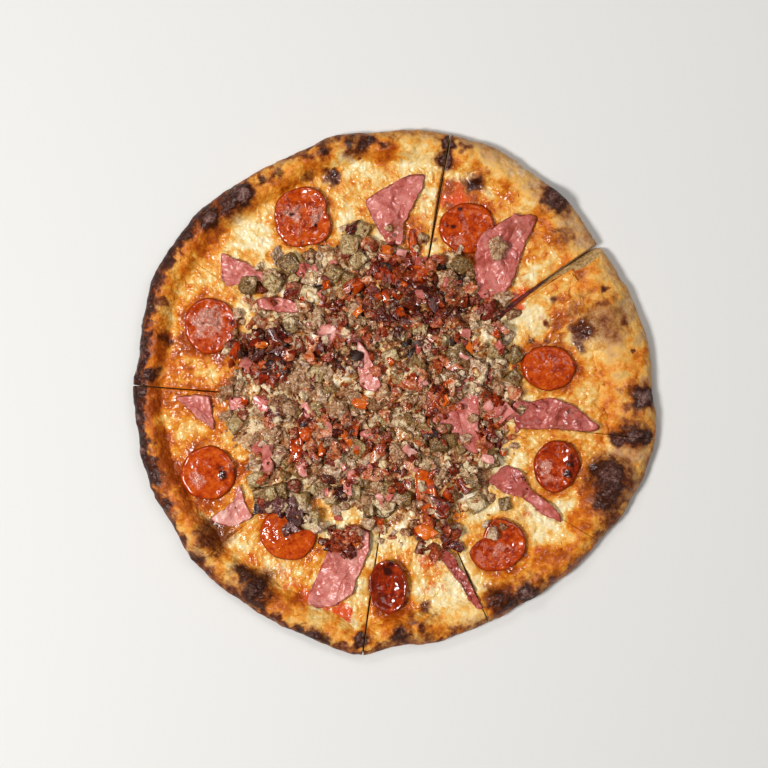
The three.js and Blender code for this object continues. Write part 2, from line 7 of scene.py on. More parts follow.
import bpy
import numpy as np
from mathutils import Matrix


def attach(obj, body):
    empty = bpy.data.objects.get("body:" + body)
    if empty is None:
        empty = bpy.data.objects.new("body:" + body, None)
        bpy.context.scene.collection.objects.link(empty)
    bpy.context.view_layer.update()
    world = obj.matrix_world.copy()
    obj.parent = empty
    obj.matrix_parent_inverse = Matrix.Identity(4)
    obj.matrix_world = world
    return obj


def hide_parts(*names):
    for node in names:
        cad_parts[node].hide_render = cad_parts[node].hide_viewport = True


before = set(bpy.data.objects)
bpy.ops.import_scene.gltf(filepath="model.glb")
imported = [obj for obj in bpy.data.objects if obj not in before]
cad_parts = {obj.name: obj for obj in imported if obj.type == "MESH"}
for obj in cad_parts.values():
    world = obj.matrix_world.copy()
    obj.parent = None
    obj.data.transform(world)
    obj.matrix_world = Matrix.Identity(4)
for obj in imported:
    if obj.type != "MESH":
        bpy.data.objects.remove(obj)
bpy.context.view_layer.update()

# ---------------------------------------------------------------- measures shared with the solids
MM = 0.001
MOVED = (0.6534042358398438, 0.195526123046875)
TIP = (5.9, -8.2)  # where the five cuts cross
DOUGH_TOP = 4.4
SAUCE_TOP = 5.6
CHEESE_TOP = 8.4
LAYER_GAP = 0.2
REST_GAP = 0.35
CORE_GAP = 0.8
TIP_GAP = 0.1
CUT_FAR = 200  # how far out the opening of a cut is measured
EDGE_Z = 6.2
CREST_AT = 0.4
HAM_THICK = 1.7
PEPPERONI_THICK = 2.3
HIGHEST = 24.2  # nothing stands higher than the solids' box
# The last slice's cut was torn open: its wall leans back and shows its crumb
LEAN, LEAN_TOP, LEAN_FROM, LEAN_WIDE = 8, 16, (120, 165), 0.3

# One row a slice: cut angle, the cut's swing by the middle, its opening at the rim, the crust's reach
# at the cut and at each quarter of the slice, its width at the cut and at the middle, its crest height.
# Most cuts are narrower than in the solids, because the soft crust and the melted cheese closed them again.
SLICES = [
    (39.0, 6, 3.0, (196.4, 201.5, 205.1, 210.4), (43, 36), 15.5),
    (80.0, 0, 1.8, (212.4, 213.3, 211.8, 215.2), (35, 30), 16.5),
    (111.3, 1, 0.0, (212.6, 212.5, 214.4, 218.7), (30, 33), 16.0),
    (145.8, 1, 0.0, (218.0, 218.2, 213.6, 209.8), (31, 28), 17.0),
    (176.3, 1, 1.1, (210.8, 208.4, 207.9, 204.3), (28, 30), 16.5),
    (217.5, 1, 0.0, (205.0, 201.3, 198.6, 197.7), (34, 36), 16.0),
    (260.9, -2, 1.5, (199.5, 189.2, 189.0, 185.8), (32, 34), 15.5),
    (291.7, -4, 0.9, (183.8, 182.5, 183.6, 186.4), (34, 36), 16.5),
    (325.3, -6, 0.3, (187.7, 191.1, 194.2, 197.5), (38, 50), 16.0),
    (351.8, -3, 0.5, (198.9, 195.4, 196.3, 195.5), (48, 54), 17.0),
]
# The cuts the cheese drew back from, so that sauce shows: how far out, over what reach, how wide
GAPING = {39.0: (112, 24, 1.6), 80.0: (165, 34, 0.7), 291.7: (150, 20, 0.5)}

# Bubbles blown in the crust: x, y, radius, height
BUBBLES = [
    (155.6, 58.1, 26, 8), (168.1, -68.2, 21, 8.5), (184.5, -32.4, 15, 4), (192.3, -5.9, 10, 3),
    (124.4, 150.9, 16, 5), (62.8, 161.8, 10, 3), (54.2, 189.2, 9, 2), (168.9, 73.7, 8, 2),
    (103.4, -154.1, 12, 3.5), (83.1, -160.3, 12, 3.5), (4.3, -185.2, 11, 3), (18.0, -172.0, 11, 3),
    (-108.8, -151.7, 18, 6), (-90.1, -175.1, 9, 2), (-149.4, -115.8, 18, 6), (-160.3, -132.2, 11, 3),
    (-119.0, 152.5, 12, 3.5), (-145.5, 135.3, 11, 3), (-57.3, 189.9, 10, 2), (-33.9, 197.0, 10, 2),
    (-64.4, -189.2, 11, 3),
]
# Smaller blisters, which only show as relief: x, y, radius, height
BLISTERS = [
    (20, -181, 6, 1.4), (22, -166, 6, 1.2), (13, -175, 5, 1.2), (27, -177, 4, 0.9), (177, 57, 6, 1.0),
    (170, 74, 7, 1.2), (-50, 166, 6, 1.2), (-27, 181, 4, 0.8), (54, 189, 6, 1.0), (63, 163, 8, 1.4),
    (72, 172, 5, 0.9), (105, 175, 6, 0.8), (91, 181, 6, 0.8), (152, 124, 8, 1.4), (131, 119, 9, 1.6),
    (-178, 42, 7, 1.2), (-182, 69, 5, 1.0), (-129, 146, 9, 1.6), (-159, 92, 12, 1.8), (158, -110, 9, 1.2),
    (169, -99, 9, 1.2), (136, -131, 9, 1.4), (-96, -174, 7, 1.2), (-4, -181, 8, 1.2), (184, 7, 6, 0.8),
    (-176, 33, 16, 1.6), (-170, -94, 7, 1.2), (114, -142, 8, 1.2), (140, -99, 10, 1.4),
]

# Pepperoni: middle, half width and length, turn, lift of the rim, squareness, bite (angle, depth)
PEPPERONI = [
    ((-71.8, 136.1), (21.8, 22.6), 12, 1.6, 0.25, None), ((-143.9, 51.9), (20.6, 21.8), 0, 0.6, 0, None),
    ((-145.9, -62.8), (21.4, 21.0), 20, 1.4, 0, None), ((-83.1, -109.6), (22.2, 21.2), 0, 1.2, 0, None),
    ((-5.9, -150.9), (14.4, 20.6), 4, 5.0, 0, None), ((79.2, -119.0), (22.6, 19.8), 28, 2.4, 0, (118, 9)),
    ((125.2, -57.3), (17.8, 20.6), -12, 4.0, 0, None), ((119.0, 19.1), (21.2, 17.6), -4, 3.0, 0, None),
    ((55.8, 127.9), (21.8, 19.8), 6, 1.8, 0, None), ((13.4, 113.8), (3.2, 13.6), 3, 0.6, 0, None),
    ((23.8, -77.6), (8.0, 21.0), 12, 2.4, 0, None), ((77.0, -17.6), (9.6, 10.6), 20, 1.0, 0, None),
    ((-76.8, -41.0), (5.6, 13.4), 0, 1.0, 0, None),
]

# Torn ham: height of its folds, whether it lies over pepperoni 9, its corners
HAM = [
    (2.6, False, [(-24.6, 149.4), (-12.1, 157.2), (7.4, 168.9), (22.2, 170.4), (23.8, 167.3), (14.4, 147.0),
                  (6.6, 130.7), (4.6, 113.5), (-5.1, 115.0), (-14.4, 128.3)]),
    (3.0, True, [(92.4, 139.2), (107.2, 136.9), (110.4, 134.6), (98.7, 111.2), (92.4, 88.5), (83.1, 74.2),
                 (71.4, 74.2), (62.8, 82.3), (61.2, 101.8), (62.8, 116.6), (66.7, 123.6), (77.6, 129.1)]),
    (2.0, False, [(-136.1, 109.6), (-117.4, 101.0), (-101.0, 93.2), (-90.1, 87.0), (-100.2, 86.3),
                  (-117.4, 85.0), (-130.7, 82.3), (-135.3, 87.8)]),
    (1.6, False, [(-171.2, -4.3), (-164.2, -2.0), (-145.5, -2.7), (-143.1, -11.3), (-140.8, -30.0),
                  (-150.9, -22.2), (-163.4, -11.3)]),
    (0.6, False, [(-130.7, -3.9), (-116.6, -4.3), (-115.8, -12.1), (-129.1, -14.4)]),
    (2.0, False, [(-121.5, -69.5), (-125.5, -84.0), (-143.9, -97.9), (-136.1, -103.4), (-126.8, -104.1),
                  (-109.6, -97.9), (-115.0, -91.7), (-118.3, -81.5)]),
    (2.6, False, [(-51.9, -119.7), (-69.8, -163.4), (-60.5, -167.3), (-46.4, -165.8), (-33.1, -156.4),
                  (-30.8, -147.0), (-24.0, -133.0), (-20.0, -119.0), (-19.9, -107.2), (-34.7, -101.8)]),
    (1.6, False, [(30.8, -121.3), (41.2, -122.9), (55.4, -143.1), (67.4, -168.1), (61.2, -167.3),
                  (51.0, -149.4), (38.6, -133.8)]),
    (2.0, False, [(70.6, -68.2), (86.2, -55.8), (97.5, -60.9), (102.6, -72.9), (115.0, -83.1),
                  (128.3, -94.0), (129.9, -101.8), (115.0, -95.5), (99.5, -82.0), (83.1, -77.3)]),
    (2.2, False, [(105.7, -7.2), (116.6, -4.3), (125.2, -5.1), (140.8, -11.3), (151.7, -20.7),
                  (160.3, -27.7), (151.7, -30.8), (123.6, -28.5), (96.3, -28.5), (89.8, -17.7), (91.0, -5.7)]),
    (1.4, False, [(-30.8, 41.7), (-24.6, 36.3), (-18.3, 23.8), (-9.8, 4.3), (-16.0, 0.4), (-27.7, 4.3)]),
    (1.8, False, [(48.8, 7.4), (65.1, 16.8), (65.1, -16.0), (65.1, -48.8), (50.3, -43.3), (42.5, -28.5),
                  (27.7, -22.2)]),
    (1.2, False, [(-108.8, 72.9), (-90.1, 74.7), (-70.6, 67.9), (-71.4, 61.2), (-90.1, 62.4),
                  (-107.2, 65.7)]),
    (1.4, False, [(-62.0, 51.9), (-48.0, 55.0), (-42.5, 44.1), (-51.1, 36.3), (-61.2, 39.4)]),
]

# The heap of meat: its middle, its reach every 15 degrees, the thickness at its edge, the rise at its middle
HEAP = (-13.7, 5.9)
HEAP_REACH = (97, 101, 98, 99, 116, 98, 101, 116, 112, 118, 115, 102,
              114, 120, 118, 119, 101, 98, 102, 117, 121, 118, 104, 94)
HEAP_EDGE = 0.9
HEAP_HIGH = 4.2
# Diced sausage and crumbled sausage that show largest: x, y, size
DICE = [
    (-114.3, 83.1, 13), (-81.9, 99.5, 14), (-94.8, 84.5, 12), (-81.9, 52.0, 12), (-66.7, 76.6, 13),
    (-35.5, 115.0, 14), (-29.2, 102.2, 13), (51.1, 98.8, 12), (4.3, 45.6, 12), (-4.3, 27.7, 12),
    (15.2, 19.9, 13), (1.2, 12.1, 11), (47.2, 28.0, 17), (77.7, 33.1, 13), (-124.5, -24.7, 12),
    (-59.7, 15.2, 12), (-62.8, -13.7, 13), (9.4, -23.8, 12), (33.1, -39.1, 14), (-29.2, -43.3, 12),
    (-108.7, -68.2, 13), (-102.7, -79.9, 15), (-90.1, -76.7, 12), (-72.6, -84.7, 15), (-31.6, -76.0, 12),
    (35.1, -106.7, 12), (58.1, -70.6, 14), (73.7, -52.2, 12), (62.7, -86.3, 13), (-48.0, 92.0, 12),
    (-26.0, 126.0, 12),
]
CRUMBLES = [
    (-78.4, 12.4, 27), (-62.8, 90.0, 17), (-46.1, -12.2, 18), (-46.4, -61.2, 20), (22.7, -4.6, 15),
    (62, 16, 17), (78, 4, 13), (40, 88, 15),
    (3.5, -48.0, 18), (33.6, -64.5, 15), (-96.2, 88.0, 15), (44.9, 80.0, 18), (-92.1, -9.8, 16),
    (-64.5, -30.3, 15), (-94.3, -32.6, 15), (-2.0, 66.0, 15), (-100.0, 30.0, 15),
]

# What the oven did, in places: x, y, radius, strength
CHAR = [
    (124, 151, 12, 0.9), (166, -62, 15, 0.85), (166, -79, 15, 0.8), (-107, -151, 12, 0.8),
    (-106, -163, 7, 0.8), (-117, -141, 9, 0.8), (184, -32, 9, 0.95), (174, -34, 7, 0.9),
    (194, -34, 8, 0.9), (192, -5, 11, 1.0), (103, -154, 10, 0.95), (80, -160, 7, 0.6),
    (91, -164, 8, 0.7), (-145, 135, 10, 1), (-119, 152, 10, 1), (-129, 146, 6, 0.8),
    (-150, -116, 8, 0.5), (-138, -122, 7, 0.55), (38, 181, 7, 0.95), (41, 191, 5, 0.9),
    (-199, 37, 6, 0.9), (-201, 16, 5, 0.9), (-200, -18, 6, 0.95), (-197, -46, 6, 0.95),
    (-199, 2, 6, 0.9), (-188, -67, 7, 0.8), (-179, -88, 6, 0.6), (-64, -190, 8, 0.85),
    (-74, -186, 6, 0.7), (-54, -193, 6, 0.7), (-191, 68, 8, 0.8), (-186, 87, 7, 0.8),
    (-175, 107, 7, 0.8), (-163, 121, 6, 0.8), (-104, 166, 6, 0.7), (-94, 169, 5, 0.6),
    (-54, 188, 6, 0.7), (-34, 196, 6, 0.7), (-21, 195, 7, 0.75), (-12, 191, 5, 0.6),
    (-25, -193, 5, 0.9), (4, -189, 7, 0.7), (-190, 15, 6, 0.8), (-155, -128, 6, 0.7),
    (63, 163, 6, 0.45), (147, 47, 7, 0.35), (-50, 166, 5, 0.6), (-102, -177, 6, 0.6),
]
TOAST = [
    (124, 151, 17, 0.8), (158, 55, 25, 0.62), (146, 49, 13, 0.9), (139, 64, 8, 0.6),
    (145, 37, 8, 0.8), (129, 57, 11, 0.55), (128, 42, 8, 0.5), (131, 74, 8, 0.4),
    (147, 74, 8, 0.5), (44, 160, 8, 0.6), (43, 143, 8, 0.55), (45, 176, 5, 0.6), (170, 74, 7, 0.45),
    (177, 57, 5, 0.7), (168, -69, 25, 0.85), (169, -99, 14, 0.7),
    (158, -110, 9, 0.6), (184, -32, 17, 0.8), (189, -6, 15, 0.8), (103, -154, 16, 0.8),
    (82, -160, 16, 0.8), (137, -133, 8, 0.4), (62, 162, 11, 1.0), (72, 172, 5, 0.5), (54, 189, 6, 0.7),
    (131, 119, 12, 0.6), (152, 124, 6, 0.5), (-108, -152, 20, 0.8), (-142, -108, 20, 0.75),
    (-173, -95, 7, 0.6), (-177, -82, 6, 0.6), (-96, -176, 7, 0.6), (4, -185, 9, 0.8),
    (13, -175, 6, 0.7), (20, -181, 6, 0.85), (22, -166, 6, 0.8), (27, -177, 5, 0.6),
    (-50, 167, 8, 0.85), (-67, 170, 5, 0.7), (-27, 181, 3, 0.7), (-178, 42, 7, 0.85),
    (-182, 69, 5, 0.8), (-190, 15, 9, 0.85), (-57, 189, 11, 0.7), (-28, 195, 16, 0.75),
    (23, -193, 16, 0.6), (-197, -37, 7, 0.9), (-199, -6, 6, 0.9), (-185, 88, 9, 0.8),
    (-129, 146, 19, 0.8), (38, 180, 10, 0.8), (161, 80, 4, 0.8), (144, 92, 7, 0.5), (186, 32, 2, 0.8),
    (184, 7, 5, 0.5), (114, -124, 5, 0.4), (100, -96, 6, 0.35), (120, 55, 5, 0.8), (122, 72, 5, 0.8),
    (119, 40, 5, 0.75), (-160, -132, 7, 0.6), (-64, -188, 11, 0.7), (124, 167, 6, 0.5),
    (105, 175, 5, 0.3), (91, 181, 6, 0.35),
]
GOLD = [
    (-176, 33, 23, 1), (-160, 25, 17, 0.9), (-159, 92, 19, 0.65), (-40, 162, 12, 0.7),
    (-25, -183, 9, 0.9), (26, -140, 10, 0.7), (45, 155, 11, 1), (129, 74, 9, 1), (129, 50, 10, 1),
    (95, 74, 10, 0.9), (-121, 146, 17, 0.7),
    (-149, 72, 11, 0.5), (-184, -14, 9, 0.8), (-156, -88, 12, 0.9), (-172, -30, 6, 0.6),
    (85, 154, 17, 0.8), (109, 110, 14, 0.8), (66, 146, 14, 0.9), (43, 158, 9, 0.8), (46, 127, 8, 0.8),
    (140, -99, 17, 0.9), (148, -84, 11, 0.8), (128, -121, 11, 0.7), (117, -142, 11, 0.6),
    (-4, -181, 17, 0.7), (4, -162, 8, 0.5), (27, -162, 9, 0.4), (167, 10, 19, 0.5),
    (184, -14, 11, 0.6), (191, 18, 11, 0.5), (130, 64, 9, 0.7), (97, 72, 8, 0.5), (-74, 162, 11, 0.6),
    (-39, 170, 14, 0.5), (15, 181, 16, 0.35), (-86, 146, 9, 0.5), (-113, -131, 11, 0.6),
    (-129, -127, 8, 0.6), (-133, -146, 8, 0.6), (-51, -181, 12, 0.4), (-35, -189, 11, 0.6),
    (-141, -88, 9, 0.7), (-74, -162, 11, 0.5), (58, -162, 8, 0.3), (113, -162, 8, 0.5),
    (152, -45, 12, 0.5), (140, -6, 14, 0.35), (191, -60, 9, 0.6), (199, -14, 6, 0.5),
    (-1, -123, 7, 0.9), (160, 72, 16, 0.35), (-180, 6, 8, 0.4),
]
SAUCE = [
    (-41, -172, 9, 1), (-53, -167, 6, 0.7), (-72, -157, 7, 0.7), (-89, -140, 8, 0.55),
    (-82, -150, 6, 0.6), (-180, 32, 9, 0.45), (-191, 41, 6, 0.4), (-170, 18, 8, 0.4),
    (70, 146, 9, 0.35), (35, 131, 6, 0.5), (23, 138, 6, 0.6), (19, 150, 5, 0.5), (13, 125, 6, 0.5),
    (101, 84, 9, 0.4), (89, 72, 6, 0.5), (117, 57, 7, 0.5), (121, 84, 6, 0.4), (26, -133, 11, 0.65),
    (27, -148, 9, 0.6), (45, 152, 15, 1), (95, 74, 10, 1), (129, 60, 12, 0.5), (-24, -186, 7, 0.4),
    (35, -150, 8, 0.4), (11, -131, 6, 0.3), (-28, -162, 5, 0.4), (-98, 131, 6, 0.2),
    (-102, 117, 6, 0.35), (-98, 122, 5, 0.4), (-59, 115, 6, 0.3), (-133, -29, 6, 0.3),
    (-121, -60, 6, 0.35), (-113, -127, 8, 0.35), (-102, -142, 8, 0.4), (-35, 138, 6, 0.3),
    (-124, 2, 6, 0.4), (82, -37, 6, 0.3), (101, -37, 7, 0.25), (113, -124, 5, 0.5),
    (100, -95, 6, 0.45), (44, -6, 6, 0.3), (184, 7, 5, 0.35), (144, 92, 6, 0.6), (82, 49, 6, 0.4),
    (53, 189, 4, 0.6), (-128, 72, 6, 0.25),
]
PALE = [
    (-113, 125, 20, 0.8), (-18, 165, 14, 0.6), (19, 181, 19, 1), (-60, -114, 10, 1), (129, -113, 10, 0.8),
    (112, -46, 8, 0.9), (-163, -28, 11, 0.7), (-180, -22, 8, 0.6), (60, -131, 12, 1), (7, 181, 11, 0.7),
    (-18, -135, 7, 1), (-24, -146, 5, 0.9), (43, -163, 19, 1), (58, -171, 11, 0.9), (109, -103, 17, 1),
    (58, -131, 11, 0.9), (66, -142, 6, 0.8), (105, 57, 16, 0.7), (93, 37, 11, 0.6), (160, -2, 16, 0.5),
    (144, -37, 16, 0.5), (-176, -21, 11, 0.6), (-125, -37, 14, 0.5), (-133, 72, 14, 0.6),
    (-164, -6, 6, 0.4), (-39, -96, 8, 0.6), (-59, -115, 6, 0.8), (-4, -99, 12, 0.8),
    (-0, -115, 12, 0.9), (103, 145, 6, 0.8), (-59, 150, 9, 0.5), (-74, 99, 9, 0.8), (-86, 119, 9, 0.5),
    (128, -84, 9, 0.6), (117, -60, 8, 0.5), (89, -21, 9, 0.4), (43, 96, 9, 0.5), (31, 115, 8, 0.6),
    (-74, -174, 9, 0.6), (-59, -174, 9, 0.8), (74, -88, 9, 0.8), (160, 18, 11, 0.4), (175, 12, 6, 0.6),
    (62, -60, 8, 0.5), (27, -123, 6, 0.4), (-110, 64, 9, 0.5), (-51, -99, 6, 0.4), (-99, -115, 6, 0.4),
    (-64, 75, 5, 1), (4, -4, 5, 0.8),
]
FLOUR = [
    (97, 176, 15, 0.9), (191, -53, 8, 0.4), (117, 166, 11, 0.8), (74, 188, 9, 0.5), (152, 119, 9, 0.5),
    (169, 96, 8, 0.6),
    (184, 68, 8, 0.7), (193, 45, 6, 0.6), (160, 45, 11, 0.3), (197, 10, 5, 0.5), (136, 138, 8, 0.4),
    (148, 128, 6, 0.5), (128, 158, 8, 0.5), (167, 107, 6, 0.6), (113, -162, 6, 0.3),
    (175, -115, 6, 0.3), (82, 189, 11, 0.5), (58, 193, 6, 0.3), (4, -193, 6, 0.2),
]

# Browning along the rim: angle round the pizza, depth of the brown band, how brown, how burnt
RIM_BROWN = [
    (5, 7, 0.35, 0), (20, 6, 0.3, 0), (40, 7, 0.35, 0), (60, 7, 0.25, 0), (74, 8, 0.4, 0),
    (82, 9, 0.45, 0.1), (92, 9, 0.45, 0.1), (102, 10, 0.6, 0.25), (109, 11, 0.75, 0.35),
    (118, 8, 0.55, 0.1), (128, 9, 0.7, 0.4), (138, 12, 0.9, 0.7), (150, 11, 0.9, 0.7),
    (162, 11, 0.95, 0.8), (175, 11, 0.95, 0.8), (186, 13, 1.0, 0.85), (197, 12, 0.95, 0.75),
    (207, 9, 0.8, 0.45),
    (218, 10, 0.75, 0.4), (230, 9, 0.75, 0.35), (242, 8, 0.75, 0.35), (255, 8, 0.7, 0.35), (265, 8, 0.65, 0.15),
    (280, 9, 0.65, 0.1), (296, 9, 0.6, 0.1), (312, 9, 0.6, 0.05), (330, 8, 0.55, 0), (350, 7, 0.45, 0),
]

# A fold standing on a pepperoni slice: which slice, its direction, its offset, height and reach
FOLDED = {6: (0, 9.5, 2.4, 3.6)}
# The slices that blew up into a dome instead of a cup, and how high
DOMED = {7: 3.0, 8: 1.6, 3: 1.4, 2: 1.0, 6: 1.5}
# A small notch in a slice's edge: its middle, then the notch's direction and depth
NOTCHED = {(-71.8, 136.1): (356, 3)}
# How light each slice roasted
PEPPERONI_TONE = [0.55, 0.5, 0.55, 0.6, 0.22, 0.45, 0.35, 0.5, 0.5, 0.6, 0.7, 0.7, 0.4]
# How much white fat shows in each pepperoni slice, and where it shows most: x, y, radius, strength. Several of
# these spots are painted highlights, set where a slice catches the light
FAT_AND_PAINTED_GLINTS = [
    (0.25, [(-80, 139, 8, 0.9), (-62, 137, 8, 0.9), (-76, 125, 5, 0.5)]), (0.35, [(-145, 56, 13, 0.95)]),
    (0.22, [(-155, -67, 9, 0.7), (-147, -54, 6, 0.45)]), (0.12, []), (0.0, []),
    (0.28, [(81, -122, 7, 0.7), (68, -118, 6, 0.5)]), (0.15, [(116, -58, 8, 0.95), (121, -68, 7, 0.6)]),
    (0.06, [(109, 17, 3, 0.5)]), (0.1, [(47, 117, 8, 0.7)]), (0.1, []), (0.2, [(14, -71, 4, 0.7)]),
    (0.2, []), (0.2, []),
]
# Seared places on pepperoni and ham
SEARED = [
    (-134.4, -63.8, 4.5, 1), (-137, -58, 3, 0.7), (-6.2, -139, 5, 1), (-4, -132, 3.4, 0.9),
    (50.3, 143.1, 2.6, 0.9),
    (44.8, 129, 2.8, 0.9), (40.5, 130, 2, 0.8), (-127.5, 54, 3.5, 0.8), (-124, 47, 3, 0.7), (-72, 116, 3, 0.6),
    (-71, 146, 2.4, 0.5), (133.8, -14.4, 2.6, 0.9), (138, -15, 2, 0.7), (141, -23.4, 1.8, 0.7),
    (109.5, 134.5, 3, 0.9), (-1.2, 121.3, 3, 0.8), (3.5, 130.7, 2, 0.6), (122, -28, 5, 0.6),
    (131, -28.6, 5, 0.6),
    (52.7, 1.2, 4, 0.9), (9.9, 119.9, 2, 0.9),
    (-80.7, 138.5, 2.4, 0.95), (-62, 130.7, 2.6, 0.95), (-71, 130, 2, 0.6), (17, -62, 3, 0.5),
    (134, -64, 4, 0.9), (136, -55, 4, 0.85), (137, -49, 3, 0.6),
    (-10, -158, 5, 0.55), (2, -146, 5, 0.5), (2, 128, 8, 0.6), (96, 127, 10, 0.5), (88, 121, 4, 0.3),
    (79, -103, 4, 0.6), (100, -80, 3, 0.6), (-88, -107, 2, 0.4), (-143, -100, 2, 0.4),
]
# How pale each piece of ham is
HAM_TONE = [0.45, 0.4, 0.5, 0.55, 0.6, 0.8, 0.6, 0.25, 0.3, 0.28, 0.8, 0.5, 0.5, 0.75]
# Where ham or pepperoni lies bare of the heap's crumbs: x, y, radius, strength
HAM_SHOWS = [
    (-25, 33, 8, 1), (-19, 21, 9, 1), (-15, 9, 8, 1), (-23, 8, 6, 0.8), (57, 6, 8, 1), (58, -12, 9, 1),
    (58, -29, 9, 1), (44, -23, 9, 0.9), (57, -43, 6, 0.8), (-99, 68, 7, 1), (-86, 68, 7, 0.9), (-53, 46, 9, 1),
    (114, 17, 16, 1), (112, 8, 12, 1), (58, 120, 14, 1), (-70, 124, 12, 1), (118, -55, 14, 1),
    (-146, 52, 16, 1),
]

# Where each kind of meat lies thickest in the heap: x, y, radius, weight
BACON_ZONES = [
    (-10, 72, 24, 1), (15, 76, 26, 1), (38, 70, 18, 0.8), (-34, 72, 16, 0.6), (-3, 98, 13, 0.8),
    (26, 97, 12, 0.5),
    (-46, 60, 12, 0.5), (-108, 32, 20, 1), (-90, 34, 15, 1), (-116, 27, 11, 0.7), (-96, 20, 16, 0.9),
    (-66, 32, 14, 0.45), (-62, -28, 16, 1), (-42, -32, 18, 1), (-22, -36, 14, 0.8), (-56, -44, 12, 0.7),
    (-36, -122, 13, 0.9), (28, -113, 15, 0.9), (43, -113, 8, 0.7), (0, -72, 14, 0.5), (30, -14, 18, 0.5),
    (62, 6, 14, 0.5),
    (12, 52, 22, 0.8), (-20, 46, 16, 0.6), (46, 52, 18, 0.55), (70, 60, 14, 0.35), (36, 30, 14, 0.2),
    (-13, 5, 124, 0.2), (84, -40, 12, 0.5), (-14, -60, 12, 0.6), (-100, 60, 14, 0.4), (70, -30, 16, 0.6),
]
SAUSAGE_ZONES = [
    (-60, -8, 30, 0.9), (-95, -12, 18, 0.7), (-20, -10, 25, 0.7), (-50, -72, 30, 0.9), (-90, -75, 22, 0.9),
    (-20, -85, 20, 0.7), (20, -25, 30, 0.9), (42, -45, 22, 0.8), (62, -88, 26, 1), (66, 25, 30, 0.9),
    (16, 25, 28, 0.8), (-62, 92, 18, 0.8), (-35, 108, 14, 0.9), (-92, 87, 20, 0.9), (-75, 12, 20, 0.8),
    (50, 94, 14, 0.8), (-5, 40, 20, 0.6), (-48, 20, 18, 0.5), (-130, -15, 12, 0.8), (-13, 5, 120, 0.22),
]
CREAMY = [
    (-64, 75, 6, 1), (4, -4, 7, 0.9), (58, -86, 12, 0.9), (-4, -110, 14, 0.9), (72, 45, 10, 0.8),
    (60, 0, 8, 0.4),
    (-20, 5, 8, 0.4), (-85, 75, 6, 0.5), (-8, -97, 9, 0.8), (84, 18, 9, 0.7), (95, -8, 8, 0.7),
    (-112, 4, 8, 0.7), (-60, -20, 6, 0.4), (45, 105, 8, 0.5), (92, 40, 8, 0.7), (70, 20, 10, 0.7),
    (-60, 82, 9, 0.6),
    (46, 90, 9, 0.5), (-75, 42, 8, 0.5), (34, 42, 8, 0.5), (-28, 106, 7, 0.5),
    (-15, -55, 7, 0.5), (-110, -50, 8, 0.6), (-20, 88, 6, 0.4), (-120, 5, 8, 0.4),
]
SEARED_HEAP = [
    (-108, 32, 12, 0.8), (-92, 20, 12, 0.8), (-8, 78, 16, 0.6), (20, 79, 14, 0.7), (35, 95, 8, 0.9),
    (-40, -30, 12, 0.6), (-31, 28, 8, 0.9), (-97, 22, 8, 0.9), (45, 62, 12, 0.6), (10, 36, 9, 0.9),
    (-25, 57, 9, 0.8), (-43, 23, 8, 0.8), (9, 24, 7, 0.9), (-43, -80, 8, 0.7), (-60, -63, 8, 0.6),
    (-111, -80, 8, 0.6), (-22, 124, 6, 0.8), (-33, -122, 8, 0.6), (24, -34, 7, 0.6), (-66, 60, 7, 0.5),
]
# The whole heap
EVERYWHERE = [(-13, 5, 128, 0.8)]
ALL_BUT_THE_EDGE = [(-13, 5, 120, 0.8)]
# Burnt bits that stand out black or nearly: x, y, size
BURNT_BITS = [
    (34.7, 95.6, 7), (19.9, 79.2, 7), (8.2, 37.8, 7), (14.4, 33.2, 10), (18, 37, 7), (-30.8, 28.5, 7),
    (-97.1, 22.2, 7), (-70.6, -23.8, 6), (23.8, -33.9, 7), (29, -31, 6), (70, -1, 6), (-121, 30, 6),
    (-60, 84, 5), (52, 90, 6), (-7, 97, 6), (-86, 34, 6), (44, 40, 6),
]

# The largest pieces of red meat: x, y, size
LARGE_RED = [(-79, 80, 14), (45, 80, 17), (60, 72, 12)]

# Outside or over the heap: the crumb on the second ham, the dark strip of bacon by the fourth pepperoni,
# and the dice that lie against it
CRUMB_ON_HAM = (79, 112, 17)
BACON_STRIP = [
    (-106, -90, 8), (-101, -89, 9), (-96, -88, 9), (-91, -87, 9), (-86, -87, 10), (-81, -89, 10),
    (-78, -93, 10),
    (-78, -98, 9), (-80, -103, 9), (-84, -106, 7), (-88, -92, 6),
]
DICE_BY_THE_STRIP = [(-66, -100, 14), (-96, -78, 10)]
# Chopped bacon on the seventh piece of ham
BACON_ON_HAM = [
    (-48, -114, 8), (-42, -118, 7), (-36, -121, 7), (-52, -122, 6), (-40, -126, 6), (-45, -110, 7),
    (-34, -114, 6),
    (-56, -116, 6), (-38, -108, 7), (-30, -119, 6), (-46, -121, 7), (-50, -107, 6), (-33, -127, 5),
    (-43, -112, 6),
]

# How far up the crust the cheese climbs, as a share of the crust's width: angle, share left bare
BARE_CRUST = [(10, 0.74), (35, 0.66), (60, 0.62), (78, 0.5), (95, 0.42), (120, 0.4), (140, 0.46), (165, 0.4),
              (190, 0.46), (205, 0.44), (225, 0.5), (248, 0.46), (270, 0.44), (300, 0.46), (320, 0.52),
              (345, 0.74)]


# ---------------------------------------------------------------- small helpers
def smooth(low, high, value):
    """Rises from 0 at low to 1 at high, or falls where high is the smaller"""
    t = np.clip((value - low) / (high - low), 0, 1)
    return t * t * (3 - 2 * t)


def stirred(x, y, z, seed):
    """A fixed random whole number at each whole-numbered place"""
    mixed = (x * 374761393 + y * 668265263 + z * 1442695041 + seed * 974634777) & 0xFFFFFFFF
    mixed = ((mixed ^ (mixed >> 13)) * 1274126177) & 0xFFFFFFFF
    mixed = ((mixed ^ (mixed >> 16)) * 2246822519) & 0xFFFFFFFF
    return mixed ^ (mixed >> 15)


def scatter(x, y, z, seed):
    """A fixed draw from 0 to 1 at each whole-numbered place"""
    return stirred(x, y, z, seed) / 0xFFFFFFFF


